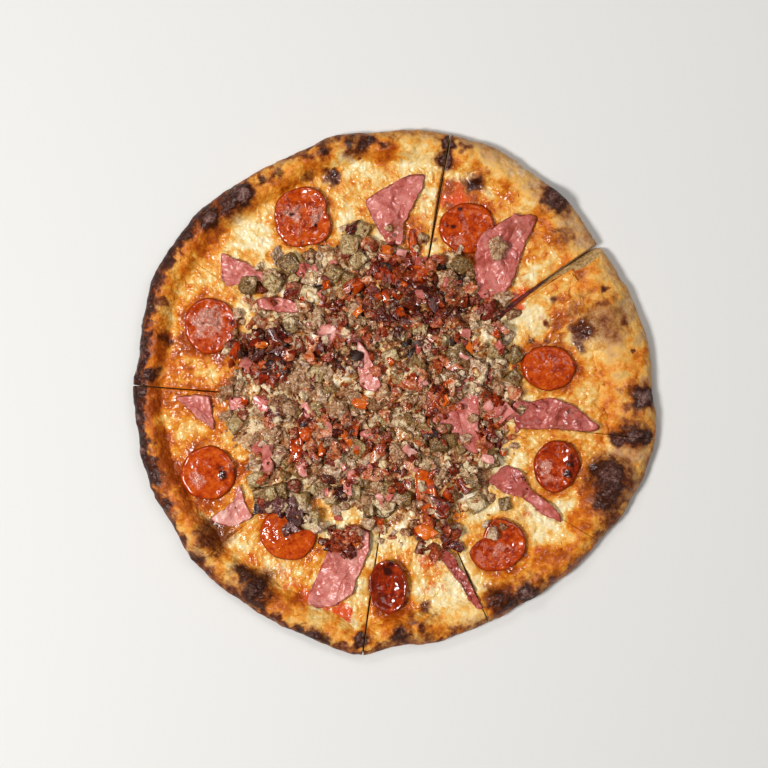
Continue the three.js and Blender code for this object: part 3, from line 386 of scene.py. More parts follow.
def noise(x, y, z=0.4, seed=0):
    """Soft unevenness from about -1 to 1, one swell to each unit, made from a random slope at each corner"""
    x, y, z = np.broadcast_arrays(np.asarray(x, float), np.asarray(y, float), np.asarray(z, float))
    base = [np.floor(v).astype(np.int64) for v in (x, y, z)]
    part = [v - b for v, b in zip((x, y, z), base)]
    eased = [p * p * p * (p * (p * 6 - 15) + 10) for p in part]
    total = 0
    for corner in range(8):
        step = [(corner >> axis) & 1 for axis in range(3)]
        weight = 1
        for s, p in zip(step, eased):
            weight = weight * (p if s else 1 - p)
        bits = stirred(*(b + s for b, s in zip(base, step)), seed)
        slope = sum((1 - 2 * ((bits >> (7 + k)) & 1)) * (p - s) for k, (p, s) in enumerate(zip(part, step)))
        total = total + weight * slope
    return total * 1.35


def rough(x, y, size, seed=0, octaves=4):
    """Unevenness of a natural surface: swells of a size in millimetres with finer ones on them"""
    total, weight, high = 0, 1.0, 0
    for k in range(octaves):
        turn = 0.9 * k
        c, s = math.cos(turn) * 2 ** k / size, math.sin(turn) * 2 ** k / size
        total = total + weight * noise(x * c - y * s, x * s + y * c, 0.4, seed + k)
        high += weight
        weight *= 0.5
    return total / high * 1.7


def around(stations):
    """A smooth closed run of values through stations (angle, value)"""
    angles = np.array([s[0] for s in stations], float)
    values = np.array([s[1] for s in stations], float)
    n = len(stations)

    def at(angle):
        a = (np.asarray(angle, float) - angles[0]) % 360 + angles[0]
        k = np.clip(np.searchsorted(angles, a, side="right") - 1, 0, n - 1)
        end = np.where(k == n - 1, angles[0] + 360, angles[(k + 1) % n])
        t = (a - angles[k]) / (end - angles[k])
        p, q, r, s = (values[(k + d) % n] for d in (-1, 0, 1, 2))
        return q + 0.5 * t * (r - p + t * (2 * p - 5 * q + 4 * r - s + t * (3 * (q - r) + s - p)))
    return at


def wandered(x, y, by, size, seeds):
    """Places pushed about, so that an outline drawn on them wanders like a grown one"""
    return x + by * rough(x, y, size, seeds[0]), y + by * rough(x, y, size, seeds[1])


def cells(x, y, size, seed):
    """Crumbs packed side by side: how far a place lies from its crumb's seam, and the crumb's own draw"""
    gx, gy = np.floor(x / size).astype(np.int64), np.floor(y / size).astype(np.int64)
    best, second, own = np.full(np.shape(x), 9e9), np.full(np.shape(x), 9e9), np.zeros(np.shape(x))
    for dx in (-1, 0, 1):
        for dy in (-1, 0, 1):
            cx, cy = gx + dx, gy + dy
            px = (cx + 0.1 + 0.8 * scatter(cx, cy, 0, seed)) * size
            py = (cy + 0.1 + 0.8 * scatter(cx, cy, 1, seed)) * size
            d = np.hypot(x - px, y - py)
            closer = d < best
            second = np.where(closer, best, np.minimum(second, d))
            own = np.where(closer, scatter(cx, cy, 2, seed), own)
            best = np.minimum(best, d)
    return (second - best) / size, own


def nearest(x, y, z, seed):
    """Distance to the nearest of points strewn one to each unit of space, as between packed grains"""
    base = [np.floor(v).astype(np.int64) for v in (x, y, z)]
    best = np.full(np.shape(x), 9.0)
    for step in itertools.product((-1, 0, 1), repeat=3):
        cell = [b + s for b, s in zip(base, step)]
        away = sum((c + scatter(*cell, seed + k) - v) ** 2 for k, (c, v) in enumerate(zip(cell, (x, y, z))))
        best = np.minimum(best, away)
    return np.sqrt(best)


def polar(x, y, middle):
    return np.hypot(x - middle[0], y - middle[1]), np.degrees(np.arctan2(y - middle[1], x - middle[0])) % 360


def mix(a, b, t):
    return a + (b - a) * t


# ---------------------------------------------------------------- the pizza's form
def next_cut(i):
    return SLICES[0][0] + 360 if i == 9 else SLICES[i + 1][0]


reach_at = around([(mix(s[0], next_cut(i), q / 4), s[3][q]) for i, s in enumerate(SLICES) for q in range(4)])
rim_at = around([(mix(s[0], next_cut(i), q / 2), s[4][q]) for i, s in enumerate(SLICES) for q in range(2)])
crest_at = around([(mix(s[0], next_cut(i), 0.5), s[5]) for i, s in enumerate(SLICES)])
heap_at = around([(15 * k, reach) for k, reach in enumerate(HEAP_REACH)])
bare_at = around(BARE_CRUST)
band_at, brown_at, burnt_at = (around([(row[0], row[k]) for row in RIM_BROWN]) for k in (1, 2, 3))


def bubbles(x, y, table=BUBBLES, blunt=1.3):
    """How high a table's bubbles stand at a place"""
    high = np.zeros(np.shape(x))
    for bx, by, radius, rise in table:
        d = np.hypot(x - bx, y - by) / radius
        high = np.maximum(high, rise * np.clip(1 - d * d, 0, 1) ** blunt)
    return high


def uneven(x, y):
    return 0.7 * np.sin(x * 0.083 + 1.7) * np.cos(y * 0.071) + 0.5 * np.sin(x * 0.19 - y * 0.16)


def dough_top(x, y):
    """Top of the dough: a flat floor that swells to the crust"""
    r, a = polar(x, y, TIP)
    u, wide = reach_at(a) - r, rim_at(a)
    at = CREST_AT * wide
    crest = crest_at(a) + uneven(x, y)
    blown = bubbles(x, y)
    outside = EDGE_Z + (crest - EDGE_Z) * np.sqrt(np.clip(1 - ((at - u) / at) ** 2, 0, 1)) + blown
    fall = 0.5 + 0.5 * np.cos(np.pi * np.clip((u - at) / (wide - at), 0, 1))
    inside = DOUGH_TOP + (crest - DOUGH_TOP) * fall + blown * np.minimum(1, 2.2 * fall)
    return np.where(u < at, outside, inside)


def heap_top(x, y):
    """Top of the heap's bare core, or of the cheese beyond it"""
    r, a = polar(x, y, HEAP)
    rho = r / heap_at(a)
    core = CHEESE_TOP + LAYER_GAP + HEAP_EDGE + HEAP_HIGH * (1 - np.clip(rho, 0, 1) ** 3)
    return np.where(rho >= 1, CHEESE_TOP + np.maximum(0, HEAP_EDGE * (1 - (rho - 1) * 14)), core)


def rest_on(x, y, over=False):
    """What a topping lies on, with its clearance; over is for the ham that lies on a pepperoni"""
    crust, core = dough_top(x, y), heap_top(x, y)
    z = np.full(np.shape(x), CHEESE_TOP + REST_GAP)
    z = np.where(crust > CHEESE_TOP - 1.5, np.maximum(z, crust + CORE_GAP), z)
    z = np.where(core > CHEESE_TOP, np.maximum(z, core + CORE_GAP), z)
    if over:
        (px, py), (a, b), _, cup, _, _ = PEPPERONI[8]
        d = np.hypot((x - px) / a, (y - py) / b)
        top = CHEESE_TOP + REST_GAP + PEPPERONI_THICK + cup * np.minimum(1, d) ** 2 + CORE_GAP
        z = np.maximum(z, top - np.maximum(0, d - 1.25) * 12)
    return z


def gape(cut, r):
    """How far the melted cheese drew back from each side of a cut"""
    if cut not in GAPING:
        return 0 * r
    middle, reach, width = GAPING[cut]
    return width * np.exp(-((r - middle) / reach) ** 2)


def placer(i, layer="dough"):
    """Where a slice's own coordinates lie: it stands back from its two cuts"""
    cut, swing, opening = SLICES[i][:3]
    swing_b, opening_b = SLICES[(i + 1) % 10][1:3]
    half = (next_cut(i) - cut) / 2
    back = TIP_GAP / 2 / math.sin(math.radians(half))
    middle = math.radians(cut + half)
    start = (TIP[0] + back * math.cos(middle), TIP[1] + back * math.sin(middle))

    def angle(r, turn):
        full = r / CUT_FAR
        one = cut + swing * (1 - full) + math.degrees((opening - TIP_GAP) / (2 * CUT_FAR))
        other = next_cut(i) + swing_b * (1 - full) - math.degrees((opening_b - TIP_GAP) / (2 * CUT_FAR))
        if layer == "cheese":
            one = one + np.degrees(gape(cut, r) / np.maximum(r, 20))
            other = other - np.degrees(gape(next_cut(i) % 360, r) / np.maximum(r, 20))
        return mix(one, other, turn)

    def place(r, turn, z=0.0):
        a = np.radians(angle(r, turn))
        if i == 9:
            out = np.clip((r - LEAN_FROM[0]) / (LEAN_FROM[1] - LEAN_FROM[0]), 0, 1)
            near = np.clip(1 - (1 - turn) / LEAN_WIDE, 0, 1)
            a = a - LEAN / np.maximum(r, 1) * out * near * np.clip(z / LEAN_TOP, 0, 1)
        return start[0] + r * np.cos(a), start[1] + r * np.sin(a)

    def reach(turn):
        a = angle(CUT_FAR, turn)
        return reach_at(a) - back * np.cos(np.radians(a) - middle)

    return place, reach, lambda turn: rim_at(angle(180, turn)), lambda turn: angle(190, turn)


# ---------------------------------------------------------------- handling pieces
SHEET_SIDE = 160  # of a flat sheet before its points are placed, as a slice is long


def deselect():
    if bpy.context.object and bpy.context.object.mode != "OBJECT":
        bpy.ops.object.mode_set(mode="OBJECT")
    bpy.ops.object.select_all(action="DESELECT")


def pick(piece):
    """Selects this piece alone"""
    deselect()
    piece.select_set(True)
    bpy.context.view_layer.objects.active = piece


def points(piece):
    flat = np.empty(len(piece.data.vertices) * 3)
    piece.data.vertices.foreach_get("co", flat)
    return flat.reshape(-1, 3)


def put_points(piece, x, y, z):
    """Gives every point its place, in millimetres from the tables' origin"""
    place = np.stack([x + MOVED[0], y + MOVED[1], z], axis=1) * MM
    piece.data.vertices.foreach_set("co", place.ravel())
    piece.data.update()


def millimetres(piece):
    place = points(piece) / MM
    return place[:, 0] - MOVED[0], place[:, 1] - MOVED[1], place[:, 2]


def write(piece, name, first, *more):
    """Keeps a number, or three of them, with each point"""
    parts = [np.broadcast_to(part, len(piece.data.vertices)) for part in (first, *more, 1.0)]
    values = np.stack(parts, axis=1) if more else parts[0]
    kind, slot = ("FLOAT_COLOR", "color") if more else ("FLOAT", "value")
    layer = piece.data.attributes.get(name) or piece.data.attributes.new(name, kind, "POINT")
    layer.data.foreach_set(slot, values.astype(float).ravel())


def read(piece, name):
    values = np.empty(len(piece.data.vertices))
    piece.data.attributes[name].data.foreach_get("value", values)
    return values


def named(piece, name):
    """Names the object and its mesh alike"""
    piece.name = piece.data.name = name
    return piece


def settle(piece):
    """Takes the object to the origin, with its place left in its mesh"""
    pick(piece)
    bpy.ops.object.transform_apply(location=True, rotation=True, scale=True)


def finish(piece, material, nodes=()):
    """Shades a piece smooth, gives it its finish, hangs it under the body's root and hides the solids it stands
    for
    """
    pick(piece)
    bpy.ops.object.shade_smooth()
    piece.data.materials.clear()
    piece.data.materials.append(material)
    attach(piece, "root")
    if nodes:
        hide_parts(*nodes)
    return piece


def sheet(name, across, along, middle):
    """A flat sheet, each point keeping its share of the way across (turn) and along (depth)"""
    deselect()
    size = SHEET_SIDE * MM
    bpy.ops.mesh.primitive_grid_add(x_subdivisions=across, y_subdivisions=along, size=size,
                                    location=(middle[0] * MM, middle[1] * MM, CHEESE_TOP * MM))
    piece = named(bpy.context.object, name)
    flat = points(piece) / size + 0.5
    write(piece, "turn", flat[:, 0])
    write(piece, "depth", flat[:, 1])
    settle(piece)
    return piece


def skirt(piece, loops):
    """Draws the sheet's open edge out once for each loop, then closes it underneath"""
    pick(piece)
    bpy.ops.object.mode_set(mode="EDIT")
    bpy.ops.mesh.select_mode(type="EDGE")
    bpy.ops.mesh.select_all(action="SELECT")
    bpy.ops.mesh.region_to_loop()
    for loop in loops:
        bpy.ops.mesh.extrude_region_move()
        bpy.ops.object.mode_set(mode="OBJECT")
        picked = np.empty(len(piece.data.vertices), bool)
        piece.data.vertices.foreach_get("select", picked)
        x, y, z = millimetres(piece)
        x[picked], y[picked], z[picked] = loop(read(piece, "turn")[picked], read(piece, "depth")[picked])
        put_points(piece, x, y, z)
        bpy.ops.object.mode_set(mode="EDIT")
    bpy.ops.mesh.fill()
    bpy.ops.mesh.select_all(action="SELECT")
    bpy.ops.mesh.normals_make_consistent(inside=False)
    bpy.ops.object.mode_set(mode="OBJECT")


# ---------------------------------------------------------------- what the oven did
def patches(table, x, y):
    """How strongly a place lies in any of a table's patches"""
    worth = np.zeros(np.shape(x))
    for px, py, radius, strength in table:
        near = (np.abs(x - px) < radius * 1.5) & (np.abs(y - py) < radius * 1.5)
        d = np.hypot(x[near] - px, y[near] - py) / radius
        worth[near] = np.maximum(worth[near], strength * smooth(1.45, 0.3, d))
    return worth


def grease(x, y):
    """Orange fat that ran out round each pepperoni"""
    worth = np.zeros(np.shape(x))
    for (px, py), (a, b), turn, *_ in PEPPERONI:
        c, s = math.cos(math.radians(turn)), math.sin(math.radians(turn))
        u, v = (x - px) * c + (y - py) * s, -(x - px) * s + (y - py) * c
        d = (np.hypot(u / a, v / b) - 1) * min(a, b)
        worth = np.maximum(worth, smooth(9, 1, d))
    return worth


def baked(x, y):
    """The oven's work at each place: toast, char, flour, gold and sauce"""
    wx = x + 3.5 * rough(x, y, 12, 31) + 0.5 * rough(x, y, 3, 33)
    wy = y + 3.5 * rough(x, y, 12, 37) + 0.5 * rough(x, y, 3, 39)
    r, a = polar(x, y, TIP)
    u, wide = reach_at(a) - r, rim_at(a)
    shift = u + 4.5 * rough(x, y, 11, 43) + 2.0 * rough(x, y, 3, 47)
    band = band_at(a)
    fleck = rough(x, y, 5, 53)
    toast = brown_at(a) * smooth(band * 1.35, band * 0.35, shift)
    toast = np.maximum(toast, patches(TOAST, wx, wy))
    toast = np.maximum(toast, 0.95 * patches([(px, py, 1.4 * radius, worth) for px, py, radius, worth in CHAR],
                                             wx, wy))
    toast = toast + 0.16 * smooth(wide * 0.9, wide * 0.4, u) * np.clip(fleck + 0.2, -0.5, 1)
    char = 0.6 * burnt_at(a) * smooth(band * 0.7, band * 0.1, shift)
    char = np.maximum(char, patches(CHAR, wx, wy))
    flour = patches(FLOUR, wx, wy) * (0.6 + 0.5 * rough(x, y, 3, 59))
    gold = 0.36 + 0.28 * rough(x, y, 30, 61) + 0.18 * rough(x, y, 9, 67)
    gold = gold + 0.16 * smooth(wide * 1.3, wide * 0.6, u) + 0.18 * smooth(150, 165, a) * smooth(215, 200, a)
    dry = patches([(px, py, 1.9 * radius, 1) for px, py, radius, _ in FLOUR], wx, wy)
    gold = gold * (1 - 0.7 * dry)
    gold = np.maximum(gold, 0.25 * gold + 0.72 * patches(GOLD, wx, wy) * (0.9 + 0.3 * fleck))
    gold = gold * (1 - 0.85 * patches(PALE, wx, wy)) + 0.3 * grease(x, y)
    sauce = patches(SAUCE, wx, wy) + 0.12 * np.clip(rough(x, y, 13, 71) - 0.35, 0, 1)
    return [np.clip(v, 0, 1.2) for v in (toast, char, flour, gold, sauce)]


def paint(piece, film):
    """Keeps the oven's work with each point; film is where the cheese thins out to oil on the crust"""
    x, y, _ = millimetres(piece)
    toast, char, flour, gold, sauce = baked(x, y)
    gold = gold + 0.12 * film
    write(piece, "bake", toast, char, flour)
    write(piece, "melt", gold, sauce, film)


# ---------------------------------------------------------------- crust and cheese of a slice
ACROSS = 124  # columns across a slice, a millimetre apart at the rim
CRUST_ROWS = 66
STEEP_ROWS = 24  # of the crust's rows, those on its steep outside
FLOOR_ROWS = 8
CHEESE_ROWS = 150


def crust_relief(x, y, char):
    """Fine form of the baked skin: soft swells, small pits, wrinkles where it is burnt"""
    soft = 1.0 * rough(x, y, 13, 3) + 0.55 * rough(x, y, 4.5, 7) + 1.2 * bubbles(x, y, BLISTERS, 0.9)
    wrinkle = 0.5 - np.abs(rough(x, y * 1.4, 6, 11)) * 1.6 - np.abs(rough(x, y, 2.6, 19)) * 0.6
    return soft + char * wrinkle * 0.85


def slump(i, r, turn, share):
    """The soft crumb spreads under the knife, so a cut is narrower below than at the top"""
    width = math.radians(next_cut(i) - SLICES[i][0])
    one, other = ((TIP_GAP + (opening - TIP_GAP) * r / CUT_FAR - 0.12) / 2 / np.maximum(r, 4) * share ** 0.6
                  for opening in (SLICES[i][2], SLICES[(i + 1) % 10][2]))
    return mix(-one / width, 1 + other / width, turn)


def make_crust(i, material):
    place, reach, wide, angle = placer(i)
    rows = CRUST_ROWS + FLOOR_ROWS
    piece = sheet(f"crust_{i + 1:02d}", ACROSS, rows, place(100, 0.5))

    def top(turn, depth):
        """Depth counts rows from the rim to the tip: close together on the steep outside"""
        k = depth * rows
        w = wide(turn)
        out = reach(turn)
        at = CREST_AT * w
        steep = at * (1 - np.cos(np.clip(k / STEEP_ROWS, 0, 1) * np.pi / 2))
        slope = at + (1.06 * w - at) * np.clip((k - STEEP_ROWS) / (CRUST_ROWS - STEEP_ROWS), 0, 1)
        u = np.where(k < STEEP_ROWS, steep, slope)
        floor = np.clip((k - CRUST_ROWS) / FLOOR_ROWS, 0, 1)
        r = np.maximum(mix(out - u, 0.3, floor), 0.3)
        x, y = place(r, turn)
        z = dough_top(x, y)
        bump = (1.0 * rough(x, y, 24, 13) + 0.35 * rough(x, y, 7, 17)) * smooth(at, 0, u)
        x2, y2 = place(r + bump * (floor <= 0), turn, z)
        char = np.maximum(patches(CHAR, x, y), burnt_at(angle(turn)) * smooth(16, 4, u))
        lift = smooth(0, 6, u) * smooth(w * 1.05, w * 0.7, u)
        z = np.where(floor > 0, DOUGH_TOP, z + crust_relief(x, y, char) * lift)
        return x2, y2, np.minimum(z, HIGHEST), r, u

    turn, depth = read(piece, "turn"), read(piece, "depth")
    x, y, z, _, _ = top(turn, depth)
    put_points(piece, x, y, z)

    def below(share, inset):
        def loop(turn, depth):
            x, y, z, r, u = top(turn, depth)
            back = inset * np.clip(1 - u / 24, 0, 1)
            bx, by = place(np.maximum(r - back, 0.3), slump(i, r, turn, share), z * (1 - share))
            ox, oy = place(np.maximum(r, 0.3), turn, z)
            return bx + (x - ox) * (1 - share), by + (y - oy) * (1 - share), z * (1 - share)
        return loop

    skirt(piece, [below(*step) for step in
                  ((0.05, 0.02), (0.25, 0.35), (0.52, 1.3), (0.75, 2.9), (0.89, 5.0), (1.0, 9.0))])
    x, y, z = millimetres(piece)
    turn, depth = read(piece, "turn"), read(piece, "depth")
    _, _, high, _, u = top(turn, depth)
    shore = bare_at(angle(turn)) * wide(turn)
    paint(piece, smooth(shore - 11, shore, u))
    side = np.maximum(smooth(0.006, 0, turn), smooth(0.994, 1, turn)) * (z < high - 0.25) * smooth(0.2, 1.5, u)
    write(piece, "crumb", side)
    finish(piece, material, [f"dough_{i + 1:02d}"])


def make_cheese(i, material):
    place, reach, wide, angle = placer(i, "cheese")
    piece = sheet(f"cheese_{i + 1:02d}_melted", ACROSS, CHEESE_ROWS, place(80, 0.5))

    def edge(turn):
        """How far from the tip the melted cheese runs up the crust, ragged along its edge"""
        a = angle(turn)
        x, y = place(reach(turn) - 20, turn)
        ragged = 4.0 * rough(x, y, 22, 73) + 1.4 * rough(x, y, 7, 79)
        return reach(turn) - bare_at(a) * wide(turn) + ragged * smooth(0, 0.05, turn) * smooth(1, 0.95, turn)

    def low_edge(turn):
        return reach(turn) - wide(turn) * 1.0

    def top(turn, depth):
        out = edge(turn)
        r = np.maximum(out * depth, 0.4)
        x, y = place(r, turn)
        side = np.minimum(turn, 1 - turn) * r * 0.6
        seam, own = cells(*wandered(x, y, 2.2, 6, (103, 107)), 6.5, 109)
        shreds = (smooth(0, 0.5, seam) - 0.45) * (0.4 + 0.8 * own)
        melted = CHEESE_TOP + 0.5 * rough(x, y, 21, 83) + 0.5 * rough(x, y, 7, 89) + 0.2 * rough(x, y, 2.6, 97)
        parted = smooth(0.2, 1.0, np.where(turn < 0.5, SLICES[i][2], SLICES[(i + 1) % 10][2]))
        melted = melted + 0.8 * shreds - 0.5 * parted * np.exp(-side / 1.1) - 0.25
        film = -0.75 + 1.9 * smooth(0, 16, out - r)
        thin = smooth(0, 9, out - r)
        lift = smooth(1.05, 0.7, (reach(turn) - r) / wide(turn))
        skin = dough_top(x, y) + crust_relief(x, y, 0) * mix(lift, 0.6, thin) + film
        skin = skin + (0.35 * rough(x, y, 6, 101) + 0.4 * shreds) * thin
        on_crust = smooth(-1.2, 1.2, skin - melted)
        z = np.minimum(mix(melted, skin, on_crust) + 0.3 * on_crust * (1 - on_crust), HIGHEST)
        z = mix(z, np.minimum(z, skin), smooth(7, 0, out - r))
        x, y = place(r, turn, z)
        return x, y, z, r, out

    turn, depth = read(piece, "turn"), read(piece, "depth")
    x, y, z, _, _ = top(turn, depth)
    put_points(piece, x, y, z)
    low = SAUCE_TOP + LAYER_GAP

    def below(shrink):
        def loop(turn, depth):
            _, _, _, r, out = top(turn, depth)
            r = r * mix(1, np.minimum(1, low_edge(turn) / out), shrink)
            turn = mix(turn, 0.5, 0.004 * shrink)
            x, y = place(r, turn, low)
            return x, y, np.maximum(low, dough_top(x, y) - 0.5 - 0.5 * shrink)
        return loop

    skirt(piece, [below(0.0), below(0.35), below(0.7), below(1.0)])
    x, y, z = millimetres(piece)
    turn, depth = read(piece, "turn"), read(piece, "depth")
    _, _, high, r, out = top(turn, depth)
    paint(piece, smooth(13, 1, out - r))
    side = np.maximum(smooth(0.012, 0, turn), smooth(0.988, 1, turn)) * smooth(0.2, 0.8, high - z)
    write(piece, "cut", side)
    finish(piece, material, [f"cheese_{i + 1:02d}"])


# ---------------------------------------------------------------- pepperoni and ham
def disc(name, middle, radius, steps, rings):
    """A flat round sheet of rings, each point keeping its share of the way round and out"""
    deselect()
    bpy.ops.mesh.primitive_circle_add(vertices=steps, radius=radius * MM, fill_type="NGON",
                                      location=(middle[0] * MM, middle[1] * MM, CHEESE_TOP * MM))
    piece = named(bpy.context.object, name)
    bpy.ops.object.mode_set(mode="EDIT")
    bpy.ops.mesh.select_mode(type="FACE")
    bpy.ops.mesh.select_all(action="SELECT")
    for _ in range(rings - 1):
        bpy.ops.mesh.inset(thickness=radius * MM * math.cos(math.pi / steps) / rings)
    bpy.ops.mesh.poke()
    bpy.ops.object.mode_set(mode="OBJECT")
    flat = points(piece)
    write(piece, "turn", (np.degrees(np.arctan2(flat[:, 1], flat[:, 0])) % 360) / 360)
    write(piece, "depth", np.clip(np.hypot(flat[:, 0], flat[:, 1]) / (radius * MM), 0, 1))
    settle(piece)
    return piece


def thicken(piece, thick):
    """Gives an open sheet its thickness, downwards"""
    pick(piece)
    solid = piece.modifiers.new("thickness", "SOLIDIFY")
    solid.thickness, solid.offset = thick * MM, -1
    bpy.ops.object.modifier_apply(modifier=solid.name)


def pepperoni_edge(row):
    (px, py), (a, b), turn, _, square, bite = row
    bite = bite or NOTCHED.get(row[0])
    c, s = math.cos(math.radians(turn)), math.sin(math.radians(turn))

    def at(share):
        angle = share * 360
        size = 1 + square * 0.35 * np.abs(np.sin(np.radians(2 * angle)))
        size = size + 0.018 * np.sin(np.radians(3 * angle) + px) + 0.012 * np.sin(np.radians(7 * angle) + py)
        if bite:
            away = np.abs((angle - bite[0] + 540) % 360 - 180) / 45
            size = size - bite[1] / a * np.clip(1 - away, 0, 1)
        u, v = a * np.cos(np.radians(angle)) * size, b * np.sin(np.radians(angle)) * size
        return px + u * c - v * s, py + u * s + v * c
    return at


def make_pepperoni(k, material):
    row = PEPPERONI[k]
    (px, py), (a, b), _, cup, _, _ = row
    small = min(a, b) < 12
    piece = disc(f"pepperoni_{k + 1:02d}_slice", (px, py), b, 64 if small else 112, 10 if small else 22)
    share, rho = read(piece, "turn"), read(piece, "depth")
    ex, ey = pepperoni_edge(row)(share)
    x, y = mix(px, ex, rho), mix(py, ey, rho)
    away = (1 - rho) * min(a, b)
    angle = share * 2 * math.pi
    lift = cup * rho ** 3 + 0.5 * np.sin(3 * angle + k) * rho ** 3 + 0.3 * np.sin(8 * angle + 2 * k) * rho ** 6
    lift = lift + 0.5 * np.exp(-((away - 2.2) / 1.6) ** 2) - 0.2
    if k in DOMED:
        lift = lift + DOMED[k] * (1 - rho ** 2) - 0.85 * cup * rho ** 3
    if k in FOLDED:
        fx, fy, high, reach = FOLDED[k]
        c, s = math.cos(math.radians(fx)), math.sin(math.radians(fx))
        across = (x - px) * c + (y - py) * s - fy
        lift = lift + high * np.exp(-(across / reach) ** 2) * smooth(1.02, 0.75, rho)
    skin = (0.15 if k in DOMED else 0.4) * rough(x, y, 8, 113 + k) + 0.1 * rough(x, y, 2.6, 127)
    z = rest_on(x, y) + lift + PEPPERONI_THICK - 0.75 * smooth(1.5, 0, away) + skin
    put_points(piece, x, y, z)
    thicken(piece, PEPPERONI_THICK * 0.8)
    x, y, z = millimetres(piece)
    rho = read(piece, "depth")
    away = (1 - rho) * min(a, b)
    # White fat, partly painted highlight: the listed spots also stand for glints
    fat = FAT_AND_PAINTED_GLINTS[k][0] * np.ones(len(x))
    for fx, fy, radius, strength in FAT_AND_PAINTED_GLINTS[k][1]:
        far = np.hypot(x - fx, y - fy) / radius + 0.5 * rough(x, y, 7, 133)
        fat = np.maximum(fat, strength * smooth(1.4, 0.3, far))
    fat = fat * smooth(1.0, 5.0, away)
    write(piece, "meat", smooth(2.6, 0.2, away), fat, patches(SEARED, *wandered(x, y, 1.5, 5, (131, 137))))
    write(piece, "lot", PEPPERONI_TONE[k])
    return finish(piece, material, [f"pepperoni_{k + 1:02d}"])


HAM_STEP = 1.1  # between the points of a slice of ham


def from_crease(x, y, k):
    """How far a place lies from the nearest crease in a slice of ham, as a share"""
    return np.abs(rough(x, y, 19, 171 + k, octaves=2))


def ham_edge(corners, k):
    """The outline of a torn piece: its corners rounded a little, its edge slightly ragged"""
    line = np.array(corners, float)
    area = sum(p[0] * q[1] - q[0] * p[1] for p, q in zip(line, np.roll(line, -1, axis=0)))
    if area < 0:
        line = line[::-1]
    for near in (0.1, 0.2):
        after = np.roll(line, -1, axis=0)
        line = np.stack([mix(line, after, near), mix(line, after, 1 - near)], axis=1).reshape(-1, 2)
    after = np.roll(line, -1, axis=0)
    run = np.concatenate([[0], np.cumsum(np.hypot(*(after - line).T))])
    closed = np.vstack([line, line[:1]])

    def at(share):
        x = np.interp(share * run[-1], run, closed[:, 0])
        y = np.interp(share * run[-1], run, closed[:, 1])
        return x + 0.7 * rough(x, y, 6, 139 + k), y + 0.7 * rough(x, y, 6, 149 + k)
    return at, line.mean(axis=0), run[-1]


def make_torn(k, material):
    """A torn, folded slice of ham"""
    fold, over, corners = HAM[k]
    edge, middle, length = ham_edge(corners, k)
    width = length / math.pi / 2
    piece = disc(f"ham_{k + 1:02d}_torn", middle, width, int(np.clip(length / HAM_STEP, 60, 150)),
                 int(np.clip(width / HAM_STEP, 8, 24)))
    share, rho = read(piece, "turn"), read(piece, "depth")
    ex, ey = edge(share)
    x, y = mix(middle[0], ex, rho), mix(middle[1], ey, rho)
    away = (1 - rho) * width
    waves = np.maximum(0, np.sin(x * 0.17 + y * 0.11 + 2 * k))
    lift = fold * (0.35 * rho ** 2 + 0.65 * waves) + 1.3 * rough(x, y, 13, 151 + k) + 0.3 * rough(x, y, 3.5, 157)
    lift = lift - 0.9 * smooth(0.16, 0, from_crease(x, y, k))
    z = rest_on(x, y, over) + lift + HAM_THICK - 0.5 * smooth(1.4, 0, away)
    put_points(piece, x, y, z)
    thicken(piece, HAM_THICK * 0.8)
    x, y, z = millimetres(piece)
    away = (1 - read(piece, "depth")) * width
    rim = smooth(2.6, 0.2, away) * (0.7 + 0.6 * rough(x, y, 9, 163))
    # Painted shade along the creases, added to the dried edge's dark red
    crease_shade = 0.35 * smooth(0.2, 0, from_crease(x, y, k))
    write(piece, "meat", np.clip(rim + crease_shade, 0, 1), HAM_TONE[k],
          patches(SEARED, *wandered(x, y, 1.2, 4, (131, 137))))
    return finish(piece, material, [f"ham_{k + 1:02d}"])


# ---------------------------------------------------------------- the heap of meat
class Ground:
    """How high the pizza stands at each millimetre while the heap is being built up"""
    low, high = (-150, -150), (170, 190)

    def __init__(self):
        self.x, self.y = np.meshgrid(np.arange(self.low[0], self.high[0] + 1.0),
                                     np.arange(self.low[1], self.high[1] + 1.0), indexing="ij")
        self.z = np.full(self.x.shape, CHEESE_TOP)
        self.z = np.maximum(self.z, heap_top(self.x, self.y))
        self.z = np.maximum(self.z, dough_top(self.x, self.y) + 0.5)

    def cover(self, piece):
        """Takes in a piece that already lies there"""
        x, y, z = millimetres(piece)
        i = np.clip(np.round(x - self.low[0]).astype(int), 0, self.z.shape[0] - 1)
        j = np.clip(np.round(y - self.low[1]).astype(int), 0, self.z.shape[1] - 1)
        np.maximum.at(self.z, (i, j), z)

    def blurred(self, times):
        """The heights with their sharp steps smoothed away"""
        z = self.z
        for _ in range(times):
            for axis in (0, 1):
                z = 0.5 * z + 0.25 * np.roll(z, 1, axis) + 0.25 * np.roll(z, -1, axis)
        return z

    def under(self, x, y, radius):
        """What a lump comes to lie on: between the mean and the highest of what is there"""
        i, j, n = int(round(x - self.low[0])), int(round(y - self.low[1])), max(1, int(radius))
        part = self.z[max(0, i - n):i + n + 1, max(0, j - n):j + n + 1]
        return float(part.mean() * 0.5 + part.max() * 0.5)

    def heap_up(self, x, y, radius, top):
        """Takes in a lump that was laid"""
        i, j, n = int(round(x - self.low[0])), int(round(y - self.low[1])), int(radius) + 1
        part = (slice(max(0, i - n), i + n + 1), slice(max(0, j - n), j + n + 1))
        d = np.hypot(self.x[part] - x, self.y[part] - y) / radius
        self.z[part] = np.where(d < 1, np.maximum(self.z[part], top - 0.35 * radius * d * d), self.z[part])


